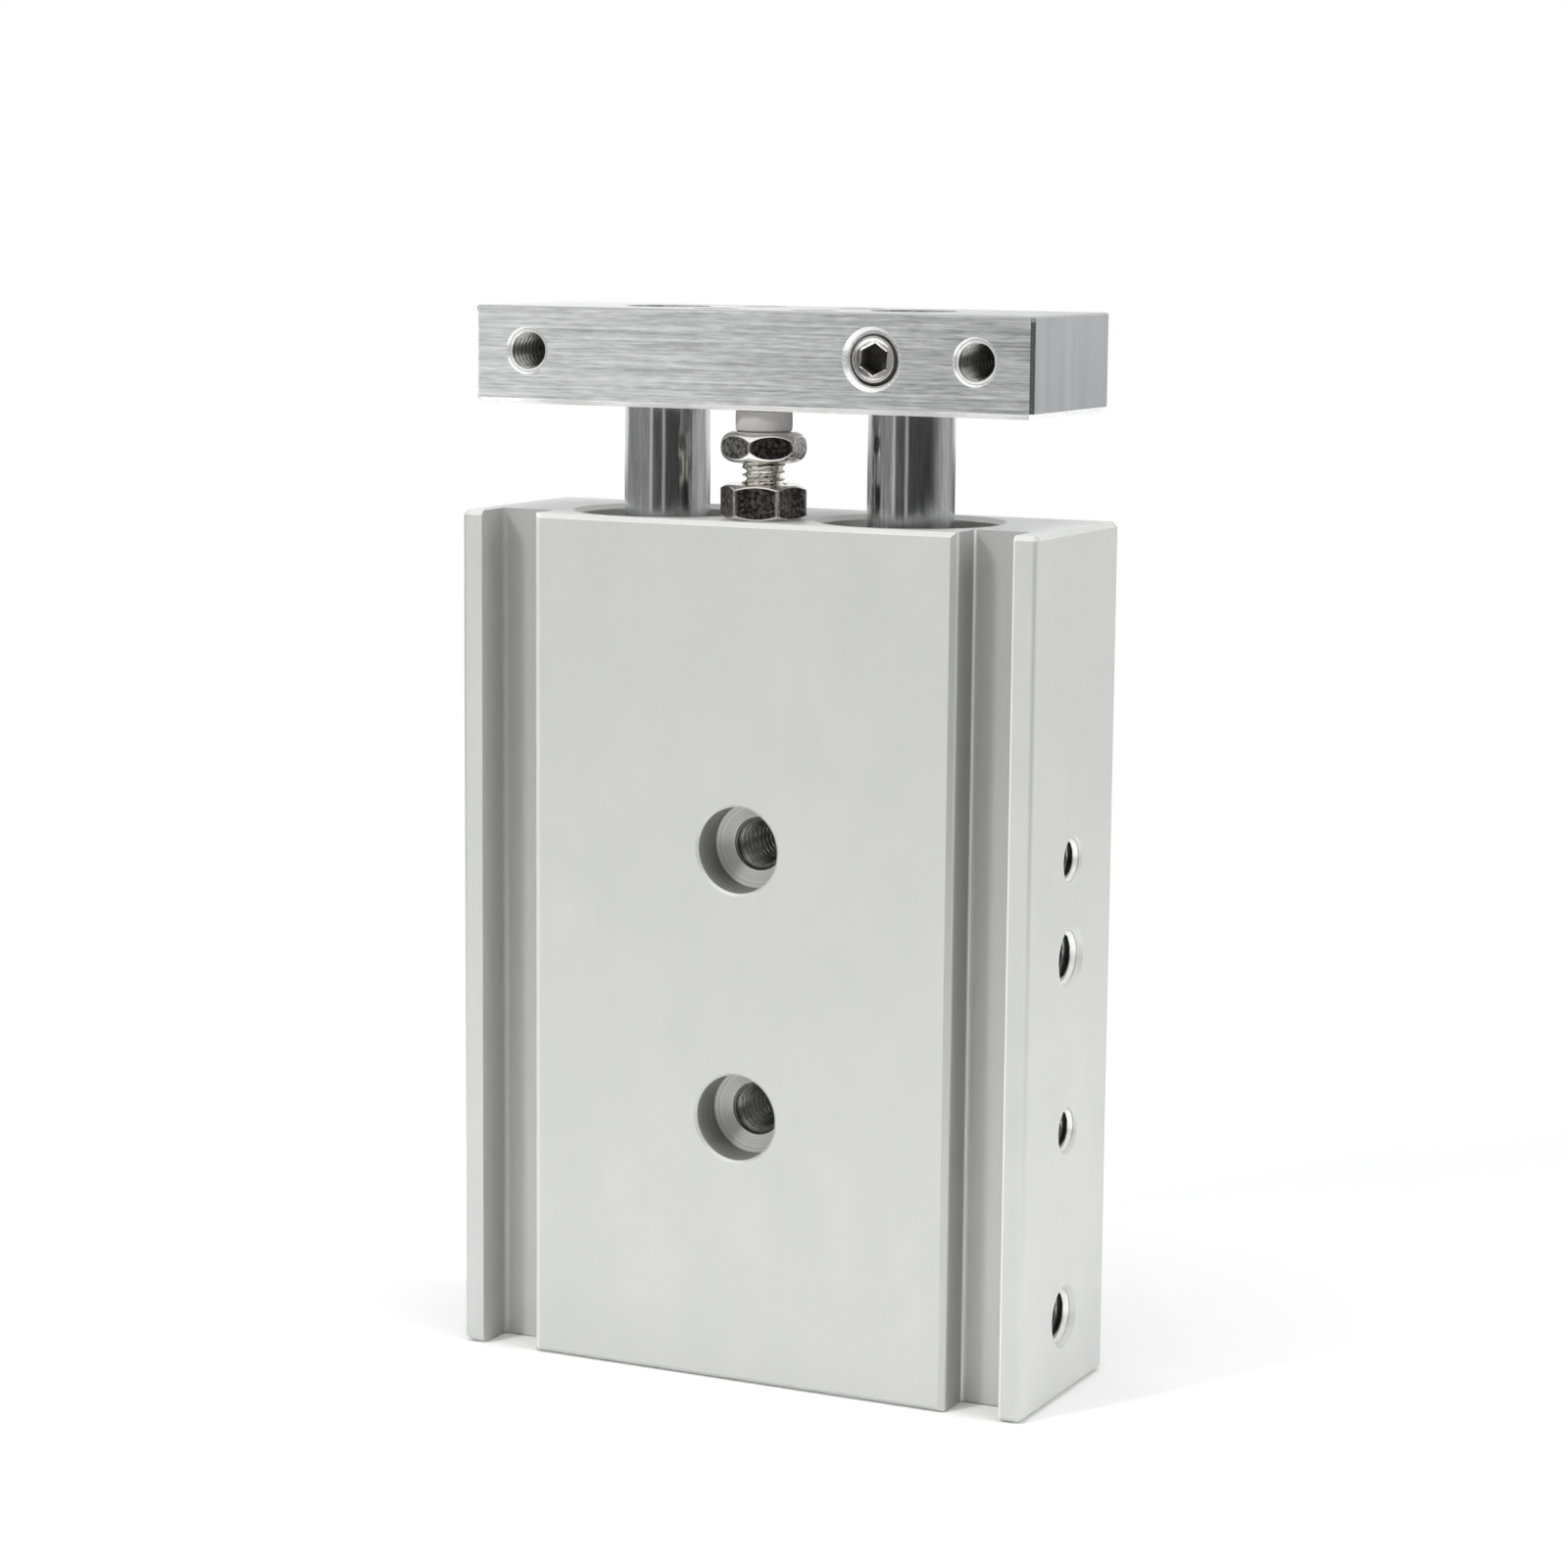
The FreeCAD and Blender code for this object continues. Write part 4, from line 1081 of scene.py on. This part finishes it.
def seen_directly(tree):
    """1 for rays from the camera, a mirror or clear material, and 0 for rays that carry soft
    light."""
    path = add(tree, "ShaderNodeLightPath").outputs
    mirrored = calc(tree, "ADD", path["Is Camera Ray"], path["Is Glossy Ray"])
    return calc(tree, "ADD", mirrored, path["Is Transmission Ray"], clamp=True)


def floor_material():
    """Matt white that takes the shadow near the object and turns to plain white further out."""
    made, tree, shader = new_material("studio_floor", metallic=0.0, specular=0.0)
    shader.inputs["Base Color"].default_value = FLOOR_WHITE
    shader.inputs["Roughness"].default_value = 1.0
    place = add(tree, "ShaderNodeTexCoord")
    reach = add(tree, "ShaderNodeVectorMath", {0: place.outputs["Object"]}, operation="LENGTH")
    far = ramp(tree, reach.outputs["Value"], *FLOOR_FADE, interpolation_type="SMOOTHSTEP")
    fade = times(tree, far, seen_directly(tree))
    glow = add(tree, "ShaderNodeEmission", {"Color": WHITE, "Strength": 1.0})
    both = add(tree, "ShaderNodeMixShader", {0: fade, 1: shader.outputs[0], 2: glow.outputs[0]})
    tree.links.new(both.outputs[0], tree.nodes["Material Output"].inputs["Surface"])
    return made


def surround_top():
    """Height of the surround's rim at each column: full in front, low behind, eased by a cosine."""
    from_front = round_angles(SHEET_COLUMNS) + math.radians(90 - SURROUND_FRONT)
    rise = np.clip((np.cos(from_front) + SURROUND_EASE) / SURROUND_EASE, 0, 1)
    return SURROUND_BACK_TOP + (SURROUND_TOP - SURROUND_BACK_TOP) * rise ** 2 * (3 - 2 * rise)


def surround_material():
    """Grey glow that changes with the direction round the object, from a ramp of tones by
    azimuth."""
    made = bpy.data.materials.new("studio_surround")
    made.use_nodes = True
    tree = made.node_tree
    place = add(tree, "ShaderNodeTexCoord").outputs["Object"]
    inputs = {"Vector": place, "Rotation": (0, 0, math.radians(90))}
    turned = add(tree, "ShaderNodeMapping", inputs).outputs[0]
    swept = add(tree, "ShaderNodeTexGradient", {"Vector": turned}, gradient_type="RADIAL")
    tones = add(tree, "ShaderNodeValToRGB", {"Fac": swept.outputs["Fac"]})
    stops = tones.color_ramp.elements
    stops[0].position, stops[1].position = 0.0, 1.0
    for azimuth, _ in SURROUND[1:-1]:
        stops.new((azimuth + 180) / 360)
    for stop, (_, tone) in zip(stops, SURROUND):
        stop.color = (tone, tone, tone, 1)
    glow = add(tree, "ShaderNodeEmission", {"Color": tones.outputs[0], "Strength": 1.0})
    tree.links.new(glow.outputs[0], tree.nodes["Material Output"].inputs["Surface"])
    return made


def direction(azimuth_deg, elevation_deg):
    """Unit vector out from the object, by degrees round from the front and up from the floor."""
    turn, rise = math.radians(azimuth_deg), math.radians(elevation_deg)
    flat = math.cos(rise)
    return Vector((math.sin(turn) * flat, -math.cos(turn) * flat, math.sin(rise)))


def soft_lamp(name, azimuth, elevation, distance, size, power):
    """Square area lamp that looks at the middle of the object from a direction in degrees."""
    away = direction(azimuth, elevation)
    data = bpy.data.lights.new(name, "AREA")
    data.shape = "SQUARE"
    data.size = size
    data.energy = power
    lamp = bpy.data.objects.new(name, data)
    lamp.location = LAMP_AIM + away * distance
    lamp.rotation_euler = away.to_track_quat("Z", "Y").to_euler()
    lamp.visible_glossy = False
    bpy.context.scene.collection.objects.link(lamp)


floor = polar_sheet("studio_floor", FLOOR_HUB, FLOOR_R, FLOOR_Z, FLOOR_Z)
floor.data.materials.append(floor_material())
surround = polar_sheet("studio_surround", SURROUND_R, SURROUND_R, SURROUND_FOOT, surround_top())
surround.data.materials.append(surround_material())
surround.visible_camera = False
surround.visible_diffuse = False
surround.visible_transmission = False
surround.visible_shadow = False
for lamp_values in LAMPS:
    soft_lamp(*lamp_values)

room = bpy.data.worlds.new("white_room")
bpy.context.scene.world = room
room.use_nodes = True
brightness = between(room.node_tree, seen_directly(room.node_tree), ROOM_FILL, 1.0)
backdrop = room.node_tree.nodes["Background"]
backdrop.inputs["Color"].default_value = WHITE
room.node_tree.links.new(brightness, backdrop.inputs["Strength"])

# Camera. Slightly right of the front and a little above, with a long lens; the direction, distance
# and tilt come from fitting the object's corners to the photograph.
IMAGE_SIZE = 1600
FOCAL_PX = 3997.2
VIEW_AZIMUTH = 25.88
VIEW_ELEVATION = 8.33
VIEW_ROLL = math.radians(0.51)
VIEW_DISTANCE = 365.85 * MM
VIEW_TARGET = Vector((-0.09, 0.0, 54.89)) * MM

back = direction(VIEW_AZIMUTH, VIEW_ELEVATION)
level = direction(VIEW_AZIMUTH + 90, 0)
upright = back.cross(level)
right = math.cos(VIEW_ROLL) * level + math.sin(VIEW_ROLL) * upright
up = math.cos(VIEW_ROLL) * upright - math.sin(VIEW_ROLL) * level
lens = bpy.data.cameras.new("camera")
lens.sensor_fit = "HORIZONTAL"
lens.sensor_width = 36.0
lens.lens = lens.sensor_width * FOCAL_PX / IMAGE_SIZE
lens.clip_start = 0.01
camera = bpy.data.objects.new("camera", lens)
turned = Matrix((right, up, back)).transposed().to_4x4()
camera.matrix_world = Matrix.Translation(VIEW_TARGET + back * VIEW_DISTANCE) @ turned
bpy.context.scene.collection.objects.link(camera)
bpy.context.scene.camera = camera
bpy.context.scene.view_settings.view_transform = "Standard"
